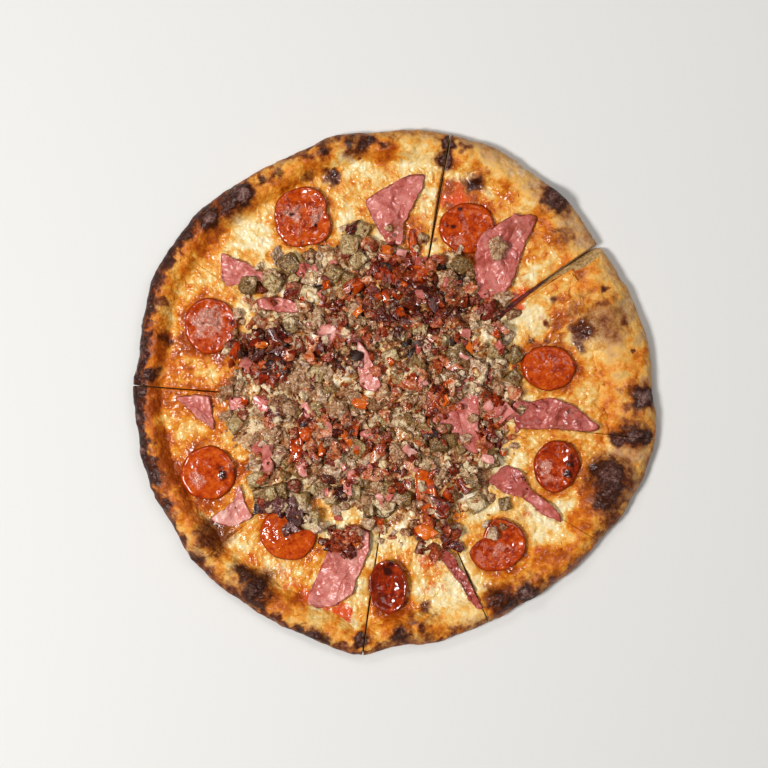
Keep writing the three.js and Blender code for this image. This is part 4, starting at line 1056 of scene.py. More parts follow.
def form(kind):
    """One lump of a kind, a millimetre across, as points and faces"""
    deselect()
    if kind in ("dice", "bacon"):
        bpy.ops.mesh.primitive_cube_add(size=1 * MM)
        lump = bpy.context.object
        bpy.ops.object.mode_set(mode="EDIT")
        bpy.ops.mesh.select_all(action="SELECT")
        if kind == "dice":
            bpy.ops.mesh.bevel(offset=0.1 * MM, segments=1, affect="EDGES")
            bpy.ops.mesh.select_all(action="SELECT")
        bpy.ops.mesh.subdivide(number_cuts=2 if kind == "dice" else 1, smoothness=0 if kind == "dice" else 0.35)
    else:
        finer = {"great": 5, "crumble": 3, "crumb": 1}[kind]
        bpy.ops.mesh.primitive_ico_sphere_add(subdivisions=finer, radius=0.5 * MM)
        lump = bpy.context.object
        bpy.ops.object.mode_set(mode="EDIT")
    bpy.ops.mesh.select_all(action="SELECT")
    bpy.ops.mesh.quads_convert_to_tris()
    bpy.ops.object.mode_set(mode="OBJECT")
    place = points(lump) / MM
    faces = np.array([face.vertices[:] for face in lump.data.polygons])
    bpy.data.objects.remove(lump)
    return place, faces


# Ground meat shows its grains: how many lie across one lump of a kind
GRAINS = {"great": 5.0, "crumble": 3.0}


def turned(draw, count, tilt):
    """Turns each lump about the upright and leans it up to a tilt, as matrices"""
    a = draw.uniform(0, 2 * np.pi, count)
    b, c = draw.uniform(-tilt, tilt, count), draw.uniform(-tilt, tilt, count)
    ca, sa, cb, sb, cc, sc = np.cos(a), np.sin(a), np.cos(b), np.sin(b), np.cos(c), np.sin(c)
    zero, one = np.zeros(count), np.ones(count)
    spin = np.array([[ca, -sa, zero], [sa, ca, zero], [zero, zero, one]])
    lean = np.array([[one, zero, zero], [zero, cb, -sb], [zero, sb, cb]])
    roll = np.array([[cc, zero, sc], [zero, one, zero], [-sc, zero, cc]])
    return np.einsum("ijn,jkn,kln->nil", spin, lean, roll)


LUMP_TOP = 22.4  # no lump's middle is set higher than half its height below this
LUMP_ROUND = 0.42  # the radius that a lump takes up, as a share of its size
BROKEN_EDGE = 64  # degrees: a chopped bit keeps the edges that are sharper


def make_lumps(name, kind, rows, material, seed, tilt=0.5, knobs=0.18, flat=0.7, long=(0.75, 1.1), sunk=0.35,
               cured=None):
    """Lays lumps of one kind on what is there already: rows of x, y, size; joined as one piece.
    Cured lumps keep from how little to how much fat they show"""
    draw = np.random.default_rng(seed)
    base, faces = form(kind)
    count = len(rows)
    rows = np.array(rows, float)
    size = rows[:, 2]
    scale = np.stack([size, size * draw.uniform(*long, count), size * flat * draw.uniform(0.8, 1.15, count)],
                     axis=1)
    offset = draw.uniform(0, 900, (count, 3))
    grown = base[None] * np.ones((count, 1, 1))
    q = grown * 1.0 + offset[:, None]
    many = noise(*np.moveaxis(q * 2.3, -1, 0), seed)
    fine = noise(*np.moveaxis(q * 5.1, -1, 0), seed + 5)
    swell = 1 + knobs * many + 0.6 * knobs * fine
    if kind in GRAINS:
        swell = swell + 0.9 * knobs * (0.5 - nearest(*np.moveaxis(q * GRAINS[kind], -1, 0), seed + 7))
    if kind in ("bacon", "crumb"):
        grown = grown + draw.normal(0, 0.11, grown.shape)
    grown = grown * swell[..., None] * scale[:, None]
    grown = np.einsum("nij,nkj->nki", turned(draw, count, tilt), grown)
    half = (grown[..., 2].max(axis=1) - grown[..., 2].min(axis=1)) / 2
    for n in range(count):
        x, y = rows[n, :2]
        radius = size[n] * LUMP_ROUND
        z = min(ground.under(x, y, radius * 0.7) + half[n] * (1 - 2 * sunk), LUMP_TOP - half[n])
        grown[n] += (x, y, z)
        ground.heap_up(x, y, radius, z + half[n] * 0.85)
    grown[..., 2] = np.maximum(grown[..., 2], CHEESE_TOP - 0.6)
    flat_points = grown.reshape(-1, 3)
    all_faces = (faces[None] + np.arange(count)[:, None, None] * len(base)).reshape(-1, 3)
    mesh = bpy.data.meshes.new(name)
    mesh.from_pydata(np.zeros_like(flat_points).tolist(), [], all_faces.tolist())
    piece = bpy.data.objects.new(name, mesh)
    bpy.context.collection.objects.link(piece)
    put_points(piece, *flat_points.T)
    lot = np.repeat(draw.uniform(0, 1, count), len(base))
    write(piece, "lot", lot)
    sear, bacon_near, cream_near = (np.repeat(patches(table, rows[:, 0], rows[:, 1]), len(base))
                                    for table in (SEARED_HEAP, BACON_ZONES, CREAMY))
    write(piece, "sear", sear)
    write(piece, "kind", bacon_near, cream_near, 0)
    if cured is not None:
        write(piece, "meat", 0, cured[0] + (cured[1] - cured[0]) * lot, 0.5 * sear)
    finish(piece, material)
    if kind in ("bacon", "crumb"):
        bpy.ops.object.shade_smooth_by_angle(angle=math.radians(BROKEN_EDGE))


def out_from_heap(far, angle):
    return HEAP[0] + far * np.cos(np.radians(angle)), HEAP[1] + far * np.sin(np.radians(angle))


STREW_TRIES = 60
STREW_REACH = 1.26  # of the heap's own reach
STRAYS_FROM = 1 / 1.12  # beyond this share of it pieces lie only where their kind is strong
LAST_LAID = 400  # fine crumb keeps clear of the last so many alone


def strew(table, count, sizes, seed, apart=0.6, taken=(), power=1.0):
    """Places for a kind, thick where its zones are strong, none closer than apart times their sizes"""
    draw = np.random.default_rng(seed)
    out = []
    kept = [tuple(t) for t in taken]
    for _ in range(STREW_TRIES):
        if len(out) >= count:
            break
        n = count * 3
        a, r = draw.uniform(0, 360, n), np.sqrt(draw.uniform(0, 1, n))
        far = heap_at(a) * STREW_REACH * r
        x, y = out_from_heap(far, a)
        size = sizes[0] + (sizes[1] - sizes[0]) * draw.uniform(0, 1, n) ** 1.6
        worth = patches(table, x, y) * (1 - 0.94 * patches(HAM_SHOWS, x, y))
        keep = (draw.uniform(0, 1, n) < worth ** power) & ((r < STRAYS_FROM) | (worth > 0.3))
        for px, py, s in zip(x[keep], y[keep], size[keep]):
            if len(out) >= count:
                break
            near = kept[-LAST_LAID:] if apart < 0.3 else kept
            if all((px - qx) ** 2 + (py - qy) ** 2 > (apart * (s + qs) / 2) ** 2 for qx, qy, qs in near):
                kept.append((px, py, s))
                out.append((px, py, s))
    return out


def bed_crumbs(x, y):
    """The bed's own crumb: its height, each crumb's draw, and the seams between them"""
    wx, wy = wandered(x, y, 1.6, 5, (199, 211))
    seam_l, own_l = cells(wx, wy, 11.5, 223)
    seam_s, own_s = cells(wx, wy, 4.8, 227)
    high = 3.4 * smooth(0, 0.45, seam_l) * (0.25 + 0.75 * own_l)
    high = high + 2.0 * smooth(0, 0.5, seam_s) * (0.2 + 0.8 * own_s)
    high = high + 0.6 * rough(x, y, 2.6, 229) - 1.5
    return high, own_s, own_l, np.clip(smooth(0.3, 0.0, seam_s) * 0.6 + smooth(0.22, 0.0, seam_l) * 0.6, 0, 1)


BED_RADIUS, BED_STEPS, BED_RINGS = 110, 620, 128


def bed_reach(angle):
    """How far from the heap's middle its bed goes, uneven along its edge"""
    x, y = out_from_heap(BED_RADIUS, angle)
    return heap_at(angle) * (1.0 + 0.045 * rough(x, y, 17, 167) + 0.03 * rough(x, y, 6, 173))


def make_core(material):
    """The bed of melted cheese and fine crumb under the meat"""
    piece = disc("heap_bed", HEAP, BED_RADIUS, BED_STEPS, BED_RINGS)
    angle, rho = read(piece, "turn") * 360, read(piece, "depth")
    far = bed_reach(angle)
    x, y = out_from_heap(far * rho, angle)
    core = CHEESE_TOP + LAYER_GAP + HEAP_EDGE + HEAP_HIGH * (1 - rho ** 3)
    away = (1 - rho) * far
    z = core + bed_crumbs(x, y)[0] * smooth(0, 9, away) * (1 - 0.9 * patches(HAM_SHOWS, x, y))
    put_points(piece, x, y, z - 1.1 * smooth(4, 0, away))

    def below(turn, _):
        return (*out_from_heap(bed_reach(turn * 360), turn * 360), CHEESE_TOP - 0.8)
    skirt(piece, [below])
    x, y, z = millimetres(piece)
    _, own, large, seam = bed_crumbs(x, y)
    red = np.clip(patches(BACON_ZONES, x, y) - 0.15, 0, 1) * 1.3
    milk = patches(CREAMY, x, y)
    is_red = own * 0.6 + large * 0.4 < red
    is_milk = scatter(np.floor(own * 997).astype(np.int64), 3, 5, 9) < 0.24 + 0.75 * milk
    write(piece, "kind", is_red, is_milk, seam)
    write(piece, "lot", own)
    write(piece, "sear", patches(SEARED_HEAP, x, y))
    return finish(piece, material, ["meat_heap"])


STRAND_SIDE, STRAND_STEPS, STRAND_THICK = 256, 300, 0.8


def make_strands(material):
    """Melted cheese that fills the hollows between the lumps: a sheet through the heap, kept where it shows"""
    deselect()
    bpy.ops.mesh.primitive_grid_add(x_subdivisions=STRAND_STEPS, y_subdivisions=STRAND_STEPS,
                                    size=STRAND_SIDE * MM, location=(HEAP[0] * MM, HEAP[1] * MM, 0))
    piece = named(bpy.context.object, "cheese_strands")
    settle(piece)
    place = points(piece) / MM
    x, y = place[:, 0], place[:, 1]
    i = np.clip(x - ground.low[0], 0, ground.z.shape[0] - 1.01)
    j = np.clip(y - ground.low[1], 0, ground.z.shape[1] - 1.01)
    i0, j0 = i.astype(int), j.astype(int)

    def at(level):
        near, far = (mix(level[i0, row], level[i0 + 1, row], i - i0) for row in (j0, j0 + 1))
        return mix(near, far, j - j0)
    r, a = polar(x, y, HEAP)
    fill = 1.5 * rough(x, y, 17, 241) + 0.9 * rough(x, y, 6, 257) + 2.6 * patches(CREAMY, x, y) - 1.1
    fill = fill - 0.6 * patches(BACON_ZONES, x, y) - 2.0 * patches(HAM_SHOWS, x, y)
    fill = fill - 4 * smooth(0.9, 1.15, r / heap_at(a))
    surface = at(ground.blurred(1))
    z = mix(at(ground.blurred(9)), surface, 0.45) + fill
    put_points(piece, x, y, z)
    write(piece, "lot", np.clip(0.1 + 0.5 * (z - surface) + 0.3 * rough(x, y, 12, 269), 0, 1))
    write(piece, "sear", 0)
    gone = z < surface - 0.7  # hidden well inside the lumps
    faces = np.empty(len(piece.data.polygons) * 4, int)
    piece.data.polygons.foreach_get("vertices", faces)
    bpy.context.view_layer.objects.active = piece
    bpy.ops.object.mode_set(mode="EDIT")
    bpy.ops.mesh.select_mode(type="FACE")
    bpy.ops.mesh.select_all(action="DESELECT")
    bpy.ops.object.mode_set(mode="OBJECT")
    piece.data.polygons.foreach_set("select", gone[faces.reshape(-1, 4)].any(axis=1))
    bpy.ops.object.mode_set(mode="EDIT")
    bpy.ops.mesh.delete(type="FACE")
    bpy.ops.object.mode_set(mode="OBJECT")
    thicken(piece, STRAND_THICK)
    finish(piece, material)


# ---------------------------------------------------------------- finishes
def tone(code):
    """An sRGB hex colour as linear light"""
    parts = [int(code[k:k + 2], 16) / 255 for k in (1, 3, 5)]
    return (*(c / 12.92 if c <= 0.04045 else ((c + 0.055) / 1.055) ** 2.4 for c in parts), 1)


def put(tree, kind, inputs=None, stops=None, **settings):
    """Adds one node; an input is a value, a colour code, or the node or socket that feeds it"""
    node = tree.nodes.new("ShaderNode" + kind)
    for name, value in settings.items():
        setattr(node, name, value)
    for key, value in (inputs or {}).items():
        socket = node.inputs[key]
        if isinstance(value, bpy.types.Node):
            value = value.outputs[2 if value.bl_idname == "ShaderNodeMix" else 0]
        if isinstance(value, bpy.types.NodeSocket):
            tree.links.new(value, socket)
        else:
            socket.default_value = tone(value) if isinstance(value, str) else value
    if stops:
        ramp = node.color_ramp
        while len(ramp.elements) < len(stops):
            ramp.elements.new(0.5)
        for element, (place, code) in zip(ramp.elements, stops):
            element.position, element.color = place, tone(code)
    return node


def material_of(name, **shader):
    """A material with its one shader, whose fixed values are set on its own sockets"""
    material = bpy.data.materials.new(name)
    material.use_nodes = True
    tree = material.node_tree
    tree.nodes.clear()
    face = put(tree, "BsdfPrincipled", shader)
    put(tree, "OutputMaterial", {"Surface": face.outputs[0]})
    return material, tree, face


def grain(tree, size, detail=3.0, roughness=0.55, distortion=0.0):
    """Natural unevenness of a size in millimetres"""
    where = put(tree, "TexCoord").outputs["Object"]
    return put(tree, "TexNoise", {"Vector": where, "Scale": 1 / (size * MM), "Detail": detail,
                                  "Roughness": roughness, "Distortion": distortion}).outputs["Fac"]


def sum_of(tree, first, *parts):
    """A number with others added, each weighed: (socket, weight, what counts as nothing)"""
    total = first
    for value, weight, nothing in parts:
        moved = put(tree, "Math", {0: value, 1: -nothing}, operation="ADD")
        total = put(tree, "Math", {0: moved, 1: weight, 2: total}, operation="MULTIPLY_ADD")
    return total


def covered(tree, under, *layers):
    """A colour with others laid over it: (value, none below this, whole above this, colour)"""
    for value, low, high, colour in layers:
        share = put(tree, "MapRange", {"Value": value, "From Min": low, "From Max": high},
                    interpolation_type="SMOOTHSTEP")
        under = put(tree, "Mix", {0: share, 6: under, 7: colour}, data_type="RGBA")
    return under


def surface(tree, face, colour, shine, rough_from, rough_to, *layers):
    """Ends a finish: its colour, its roughness as shine goes from 0.3 to 0.7, and its fine relief,
    (height, depth in millimetres) laid over each other"""
    tree.links.new(colour.outputs[2], face.inputs["Base Color"])
    gloss = put(tree, "MapRange", {"Value": shine, "From Min": 0.3, "From Max": 0.7, "To Min": rough_from,
                                   "To Max": rough_to})
    tree.links.new(gloss.outputs[0], face.inputs["Roughness"])
    below = None
    for height, depth in layers:
        inputs = {"Height": height, "Distance": depth * MM, "Strength": 1.0}
        if below:
            inputs["Normal"] = below
        below = put(tree, "Bump", inputs)
    tree.links.new(below.outputs[0], face.inputs["Normal"])


def bent(tree, size, push):
    """Object coordinates pushed about, so that a pattern on them wanders like a grown one"""
    where = put(tree, "TexCoord").outputs["Object"]
    uneven_by = put(tree, "TexNoise", {"Vector": where, "Scale": 1 / (size * MM), "Detail": 2.0}).outputs["Color"]
    return put(tree, "VectorMath", {0: uneven_by, 1: (push * MM,) * 3, 2: where}, operation="MULTIPLY_ADD")


def packed(tree, size):
    """Grains packed together at a size in millimetres: how far a place lies from its grain's middle"""
    where = bent(tree, size * 1.6, size * 1.2)
    return put(tree, "TexVoronoi", {"Vector": where, "Scale": 1 / (size * MM)}).outputs["Distance"]


def clustered(tree, size, patch):
    """Small bumps of a size in millimetres that stand only in patches of another size"""
    where = put(tree, "MapRange", {"Value": grain(tree, patch, 1), "From Min": 0.46, "From Max": 0.62},
                interpolation_type="SMOOTHSTEP")
    return put(tree, "Math", {0: where, 1: grain(tree, size, 1)}, operation="MULTIPLY")


def channels(tree, name):
    kept = put(tree, "Attribute", attribute_name=name, attribute_type="GEOMETRY")
    return put(tree, "SeparateColor", {"Color": kept.outputs["Color"]}).outputs


def browned(tree, under, toast, char, coarse, fine):
    """Browning and char laid over a colour, ragged at their edges"""
    browning = sum_of(tree, toast, (coarse, 0.5, 0.5), (fine, 0.3, 0.5))
    brown = put(tree, "ValToRGB", {0: browning}, stops=[
        (0.2, "#C6802F"), (0.42, "#A9591C"), (0.65, "#803A12"), (0.85, "#592409"), (1.0, "#3A1404")])
    burning = sum_of(tree, char, (coarse, 0.6, 0.5), (fine, 0.25, 0.5))
    # The most burnt char is painted grey-brown: partly the char's own colour, partly a painted sheen
    char_and_sheen = put(tree, "ValToRGB", {0: sum_of(tree, fine, (coarse, 1.2, 0.5), (char, 1.5, 0.85))}, stops=[
        (0.15, "#210B04"), (0.4, "#3A180B"), (0.62, "#5F3A30"), (0.88, "#8E6C64")])
    return covered(tree, under, (browning, 0.12, 0.85, brown), (burning, 0.25, 0.85, char_and_sheen))


def melted(tree, oil):
    """Mozzarella from milky to golden and orange with the oil and sauce in it"""
    return put(tree, "ValToRGB", {0: oil}, stops=[
        (0.0, "#F7E2B2"), (0.18, "#F3D089"), (0.34, "#EDB459"), (0.52, "#E6932B"), (0.72, "#D16C13"),
        (1.0, "#A2440A")])


def crust_material():
    """Baked wheat dough: thin dry skin, glossy only where oil has run, blown and burnt in places"""
    material, tree, face = material_of("baked_wheat_crust", **{"Specular IOR Level": 0.25})
    bake, melt = channels(tree, "bake"), channels(tree, "melt")
    coarse, fine = grain(tree, 5, 5, 0.65), grain(tree, 1.6, 3)
    oil = sum_of(tree, melt[0], (coarse, 0.9, 0.5), (fine, 0.4, 0.5))
    skin = put(tree, "ValToRGB", {0: oil}, stops=[
        (0.0, "#C0956A"), (0.2, "#D4A263"), (0.38, "#E6B05A"), (0.58, "#E69532"), (0.78, "#D07214"),
        (1.0, "#A84C0B")])
    colour = covered(tree, skin, (melt[2], 0.1, 1.0, melted(tree, oil)),
                     (sum_of(tree, bake[2], (fine, 0.6, 0.5)), 0.3, 1.0, "#EBCCA2"))
    colour = browned(tree, colour, bake[0], bake[1], coarse, fine)
    # The crumb that a cut lays open
    crumb = put(tree, "Attribute", attribute_name="crumb", attribute_type="GEOMETRY").outputs["Fac"]
    holes = put(tree, "TexVoronoi", {"Vector": put(tree, "TexCoord").outputs["Object"], "Scale": 420})
    inside = put(tree, "ValToRGB", {0: holes.outputs["Distance"]}, stops=[(0.1, "#8E6636"), (0.35, "#BF975C"),
                                                                         (0.7, "#D2B07A")])
    # The underside stood on the hot stone: floury, with small dark spots
    down = put(tree, "SeparateXYZ", {0: put(tree, "NewGeometry").outputs["Normal"]}).outputs[2]
    stone = put(tree, "ValToRGB", {0: grain(tree, 9, 4, 0.65)}, stops=[
        (0.34, "#D8B98B"), (0.5, "#C99E66"), (0.6, "#A56E3A"), (0.72, "#5C3420")])
    colour = covered(tree, colour, (crumb, 0.0, 1.0, inside), (down, -0.7, -0.95, stone))
    surface(tree, face, colour, oil, 0.6, 0.36, (grain(tree, 5, 1), 1.3), (grain(tree, 1.8, 1), 0.5),
            (grain(tree, 0.7), 0.1))
    return material


def cheese_material():
    """Melted mozzarella: pale and milky, gold and orange with oil and sauce, toasted on its high places"""
    material, tree, face = material_of("melted_mozzarella", **{
        "Specular IOR Level": 0.45, "Subsurface Weight": 0.08, "Subsurface Radius": (0.004, 0.002, 0.001),
        "Subsurface Scale": 0.6})
    bake, melt = channels(tree, "bake"), channels(tree, "melt")
    coarse, fine = grain(tree, 7, 5, 0.66, 0.8), grain(tree, 2.2, 4, 0.65)
    shreds, pools = packed(tree, 5), grain(tree, 16, 3, 0.5, 0.8)
    oil = sum_of(tree, melt[0], (pools, 1.1, 0.5), (coarse, 0.9, 0.5), (fine, 0.35, 0.5), (shreds, 0.2, 0.42))
    red = sum_of(tree, melt[1], (coarse, 1.6, 0.5), (fine, 0.9, 0.5))
    # Small bubbles burst in the cheese and left a browned ring
    middle = put(tree, "TexVoronoi", {"Vector": bent(tree, 6, 3.5), "Scale": 1 / (12 * MM)}).outputs["Distance"]
    ring = put(tree, "Math", {0: put(tree, "Math", {0: middle, 1: 0.2}, operation="SUBTRACT")},
               operation="ABSOLUTE")
    popped = put(tree, "Math", {
        0: put(tree, "MapRange", {"Value": ring, "From Min": 0.07, "From Max": 0.0}),
        1: put(tree, "MapRange", {"Value": pools, "From Min": 0.46, "From Max": 0.6})}, operation="MULTIPLY")
    colour = covered(tree, melted(tree, oil), (red, 0.25, 0.95, "#DC5220"), (popped, 0.0, 2.0, "#BC601C"))
    colour = browned(tree, colour, bake[0], bake[1], coarse, fine)
    cut = put(tree, "Attribute", attribute_name="cut", attribute_type="GEOMETRY").outputs["Fac"]
    colour = covered(tree, colour, (cut, 0.0, 1.0, "#B9773C"))
    surface(tree, face, colour, oil, 0.24, 0.15, (shreds, -0.4), (grain(tree, 7, 1.5, 0.5, 0.8), 1.9),
            (grain(tree, 2.6, 1), 0.45), (popped, 0.25))
    return material


def sauce_material():
    """Cooked tomato sauce, seen only in the cuts: wet and dark red"""
    material, tree, face = material_of("cooked_tomato_sauce")
    shade = grain(tree, 3, 4)
    colour = covered(tree, "#3C0703", (shade, 0.3, 0.6, "#6E1206"), (shade, 0.6, 0.9, "#9C3012"))
    surface(tree, face, colour, shade, 0.25, 0.45, (grain(tree, 2), 0.3))
    return material


def pepperoni_material():
    """Cured pork and beef sausage, sliced and roasted: orange-red, oily, pink with white flecks of fat, which in
    places are painted highlights
    """
    material, tree, face = material_of("roasted_pepperoni", **{"Specular IOR Level": 0.5})
    meat = channels(tree, "meat")
    lot = put(tree, "Attribute", attribute_name="lot", attribute_type="GEOMETRY").outputs["Fac"]
    coarse, fine = grain(tree, 5, 5, 0.62), grain(tree, 1.5, 3)
    base = put(tree, "ValToRGB", {0: sum_of(tree, coarse, (fine, 0.5, 0.5), (lot, 0.6, 0.5))}, stops=[
        (0.2, "#6E1703"), (0.36, "#962803"), (0.5, "#BA3E04"), (0.64, "#CD5408"), (0.82, "#E07220")])
    # Fat that came out white shows as a crinkled net on pink meat; in the listed fat spots this pale net is also
    # a painted highlight
    net = put(tree, "Math", {0: grain(tree, 2.6, 2, 0.5, 1.6), 1: 0.5}, operation="SUBTRACT")
    crinkle = put(tree, "Math", {0: net}, operation="ABSOLUTE")
    fleck = sum_of(tree, meat[1], (coarse, 1.1, 0.5))
    white = put(tree, "Math", {
        0: put(tree, "MapRange", {"Value": fleck, "From Min": 0.35, "From Max": 0.85}),
        1: put(tree, "MapRange", {"Value": crinkle, "From Min": 0.09, "From Max": 0.02})}, operation="MULTIPLY")
    pink = put(tree, "ValToRGB", {0: fleck}, stops=[(0.35, "#C04614"), (0.6, "#C2502A"), (0.85, "#C8624A"),
                                                    (1.0, "#D07C68")])
    colour = covered(tree, base, (fleck, 0.3, 0.65, pink), (white, 0.0, 1.0, "#E8B29C"),
                     (sum_of(tree, meat[0], (coarse, 0.5, 0.5)), 0.3, 1.2, "#8E2804"),
                     (sum_of(tree, meat[2], (fine, 0.6, 0.5)), 0.25, 0.9, "#3E0F06"))
    craters = put(tree, "Math", {0: clustered(tree, 4, 16), 1: sum_of(tree, meat[1], (meat[1], 0.6, -0.4))},
                  operation="MULTIPLY")
    surface(tree, face, colour, coarse, 0.08, 0.2, (craters, 3.2), (grain(tree, 9, 1), 0.9), (white, 0.25))
    return material


def ham_material():
    """Thin cooked ham: wet pink muscle with pale streaks, its edges dried dark red, with painted shade along its
    creases
    """
    material, tree, face = material_of("cooked_ham", **{
        "Specular IOR Level": 0.5, "Subsurface Weight": 0.1, "Subsurface Radius": (0.004, 0.0015, 0.001),
        "Subsurface Scale": 0.6, "Coat Weight": 0.15, "Coat Roughness": 0.25})
    meat = channels(tree, "meat")
    coarse, fine = grain(tree, 9, 5, 0.62, 0.5), grain(tree, 1.8, 3)
    flesh = sum_of(tree, meat[1], (coarse, 1.4, 0.5), (fine, 0.3, 0.5))
    pink = put(tree, "ValToRGB", {0: flesh}, stops=[
        (0.05, "#983A2E"), (0.35, "#C05B4E"), (0.62, "#D67D70"), (0.88, "#E49C8E"), (1.0, "#EFBAAA")])
    # The dried edge and the painted shade along the creases share this one mask
    edge = sum_of(tree, meat[0], (coarse, 0.5, 0.5), (fine, 0.3, 0.5))
    colour = covered(tree, pink, (edge, 0.15, 0.95, "#8E3022"),
                     (sum_of(tree, meat[2], (fine, 0.6, 0.5)), 0.1, 0.7, "#A2482E"),
                     (sum_of(tree, meat[2], (fine, 0.6, 0.5)), 0.5, 1.0, "#4A170E"))
    surface(tree, face, colour, coarse, 0.2, 0.4, (grain(tree, 13, 1.5, 0.5, 0.5), 2.4),
            (clustered(tree, 3.5, 12), 0.7))
    return material


def glazed(tree, colour):
    """Films that ran over the meat and tie it together: orange fat, dark juice, melted cheese"""
    up = put(tree, "SeparateXYZ", {0: put(tree, "NewGeometry").outputs["Normal"]}).outputs[2]
    kinds = channels(tree, "kind")
    fine = grain(tree, 1.5)
    juice = sum_of(tree, grain(tree, 16, 4, 0.55, 1.2), (fine, 0.2, 0.5), (kinds[0], 0.24, 0.45))
    fat = sum_of(tree, grain(tree, 18, 4, 0.55, 2.0), (fine, 0.2, 0.5), (kinds[0], 0.1, 0.5))
    film = sum_of(tree, grain(tree, 13, 4, 0.58, 0.6), (fine, 0.2, 0.5), (up, 0.14, 0.75), (kinds[1], 0.13, 0.05),
                  (kinds[0], -0.12, 0.2))
    return covered(tree, colour, (fat, 0.52, 0.74, "#B8501A"), (juice, 0.53, 0.74, "#4E180A"),
                   (film, 0.55, 0.72, "#E9CFA2"))


def bed_material():
    """The heap's bed: crumbs of sausage and bacon held together by melted cheese and fat"""
    material, tree, face = material_of("crumbs_in_melted_cheese", **{"Specular IOR Level": 0.45})
    kinds = channels(tree, "kind")
    lot = put(tree, "Attribute", attribute_name="lot", attribute_type="GEOMETRY").outputs["Fac"]
    heat = put(tree, "Attribute", attribute_name="sear", attribute_type="GEOMETRY").outputs["Fac"]
    coarse, fine = grain(tree, 4, 4, 0.62), grain(tree, 1.3, 3)
    shade = sum_of(tree, put(tree, "Math", {0: lot, 1: 0.7, 2: 0.15}, operation="MULTIPLY_ADD"),
                   (coarse, 0.7, 0.5), (fine, 0.5, 0.5))
    sausage = put(tree, "ValToRGB", {0: shade}, stops=[
        (0.1, "#70401E"), (0.32, "#976036"), (0.52, "#B47E4C"), (0.7, "#C99A6A"), (0.9, "#E0BE90")])
    red = put(tree, "ValToRGB", {0: shade}, stops=[
        (0.1, "#360D06"), (0.32, "#70220D"), (0.52, "#9E401A"), (0.7, "#C2602E"), (0.9, "#DA9262")])
    milk = put(tree, "ValToRGB", {0: shade}, stops=[
        (0.1, "#C78C4C"), (0.35, "#DDB983"), (0.6, "#EBD3A8"), (0.9, "#F5E6C8")])
    # Fat in the seams between the crumbs, made darker as painted shade where the seams sink in
    fat = put(tree, "ValToRGB", {0: grain(tree, 9, 3)}, stops=[
        (0.35, "#3E1407"), (0.47, "#7C3412"), (0.56, "#B0652C"), (0.7, "#D09C5C")])
    seam_fat_and_shade = sum_of(tree, kinds[2], (coarse, 0.8, 0.5), (fine, 0.4, 0.5))
    burning = sum_of(tree, put(tree, "Math", {0: heat, 1: 0.5}, operation="MULTIPLY"),
                     (coarse, 0.9, 0.5), (fine, 0.5, 0.5))
    colour = covered(tree, sausage, (kinds[0], 0.0, 1.0, red), (kinds[1], 0.0, 1.0, milk), (seam_fat_and_shade, 0.3, 0.8, fat),
                     (burning, 0.3, 0.65, "#351409"))
    colour = glazed(tree, colour)
    surface(tree, face, colour, coarse, 0.12, 0.4, (packed(tree, 2.6), -1.1), (grain(tree, 4, 1), 1.0),
            (grain(tree, 1.5, 1), 0.3))
    return material


def meat_material(name, stops, shine, sizes, depths, sear=0.5, seared="#3B1C11", ground=0.0, crevice_shade="#6E3214",
                  films=True, **shader):
    """Cooked meat in lumps: each lump its own tone, mottled, darker where it is seared, with painted shade in the
    crevices between the grains of ground meat, whose size is ground; films of fat and cheese on it"""
    material, tree, face = material_of(name, **shader)
    lot = put(tree, "Attribute", attribute_name="lot", attribute_type="GEOMETRY").outputs["Fac"]
    heat = put(tree, "Attribute", attribute_name="sear", attribute_type="GEOMETRY").outputs["Fac"]
    coarse, fine = grain(tree, sizes[0], 4, 0.6), grain(tree, sizes[1], 3)
    shade = sum_of(tree, put(tree, "Math", {0: lot, 1: 0.6, 2: 0.2}, operation="MULTIPLY_ADD"),
                   (coarse, 1.2, 0.5), (fine, 0.9, 0.5))
    flesh = put(tree, "ValToRGB", {0: shade}, stops=stops)
    burning = sum_of(tree, put(tree, "Math", {0: heat, 1: sear}, operation="MULTIPLY"),
                     (coarse, 0.9, 0.5), (fine, 0.5, 0.5))
    covers = [(burning, 0.3, 0.62, seared)]
    layers = [(grain(tree, sizes[0], 1), depths[0]), (grain(tree, sizes[1], 1), depths[1])]
    if ground:
        grains = packed(tree, ground)
        # Painted shade in the crevices between the grains
        covers.append((grains, 0.4, 1.1, crevice_shade))
        layers.insert(0, (grains, -0.45 * ground))
    colour = covered(tree, flesh, *covers)
    surface(tree, face, glazed(tree, colour) if films else colour, coarse, *shine, *layers)
    return material


# Minced pork sausage, browned in dice: olive-brown crust, paler where it broke
sausage_dice = meat_material("browned_sausage_dice", [
    (0.1, "#694723"), (0.3, "#876434"), (0.5, "#A07B47"), (0.7, "#B7955E"), (0.9, "#D2BA8A")],
    (0.14, 0.42), (5, 1.5), (1.3, 0.3), sear=0.5, seared="#4E3216", ground=1.9, crevice_shade="#4E3216")
# Crumbled sausage: grey-pink and beige, grainy
sausage_crumble = meat_material("crumbled_sausage", [
    (0.1, "#7E4A2A"), (0.3, "#A8764C"), (0.5, "#C2946C"), (0.7, "#D3AE8A"), (0.9, "#E6CCB0")],
    (0.1, 0.34), (4, 1.3), (1.2, 0.3), sear=0.5, seared="#5A2A12", ground=2.6, crevice_shade="#5E2A10")
# Seasoned beef and pork, fried red-brown
red_meat = meat_material("fried_red_meat", [
    (0.1, "#561A0A"), (0.35, "#80341A"), (0.6, "#A24C2C"), (0.85, "#C27450")],
    (0.15, 0.42), (3.5, 1.2), (1.1, 0.3), sear=0.6, seared="#34100A", ground=2.4, crevice_shade="#4A1608")
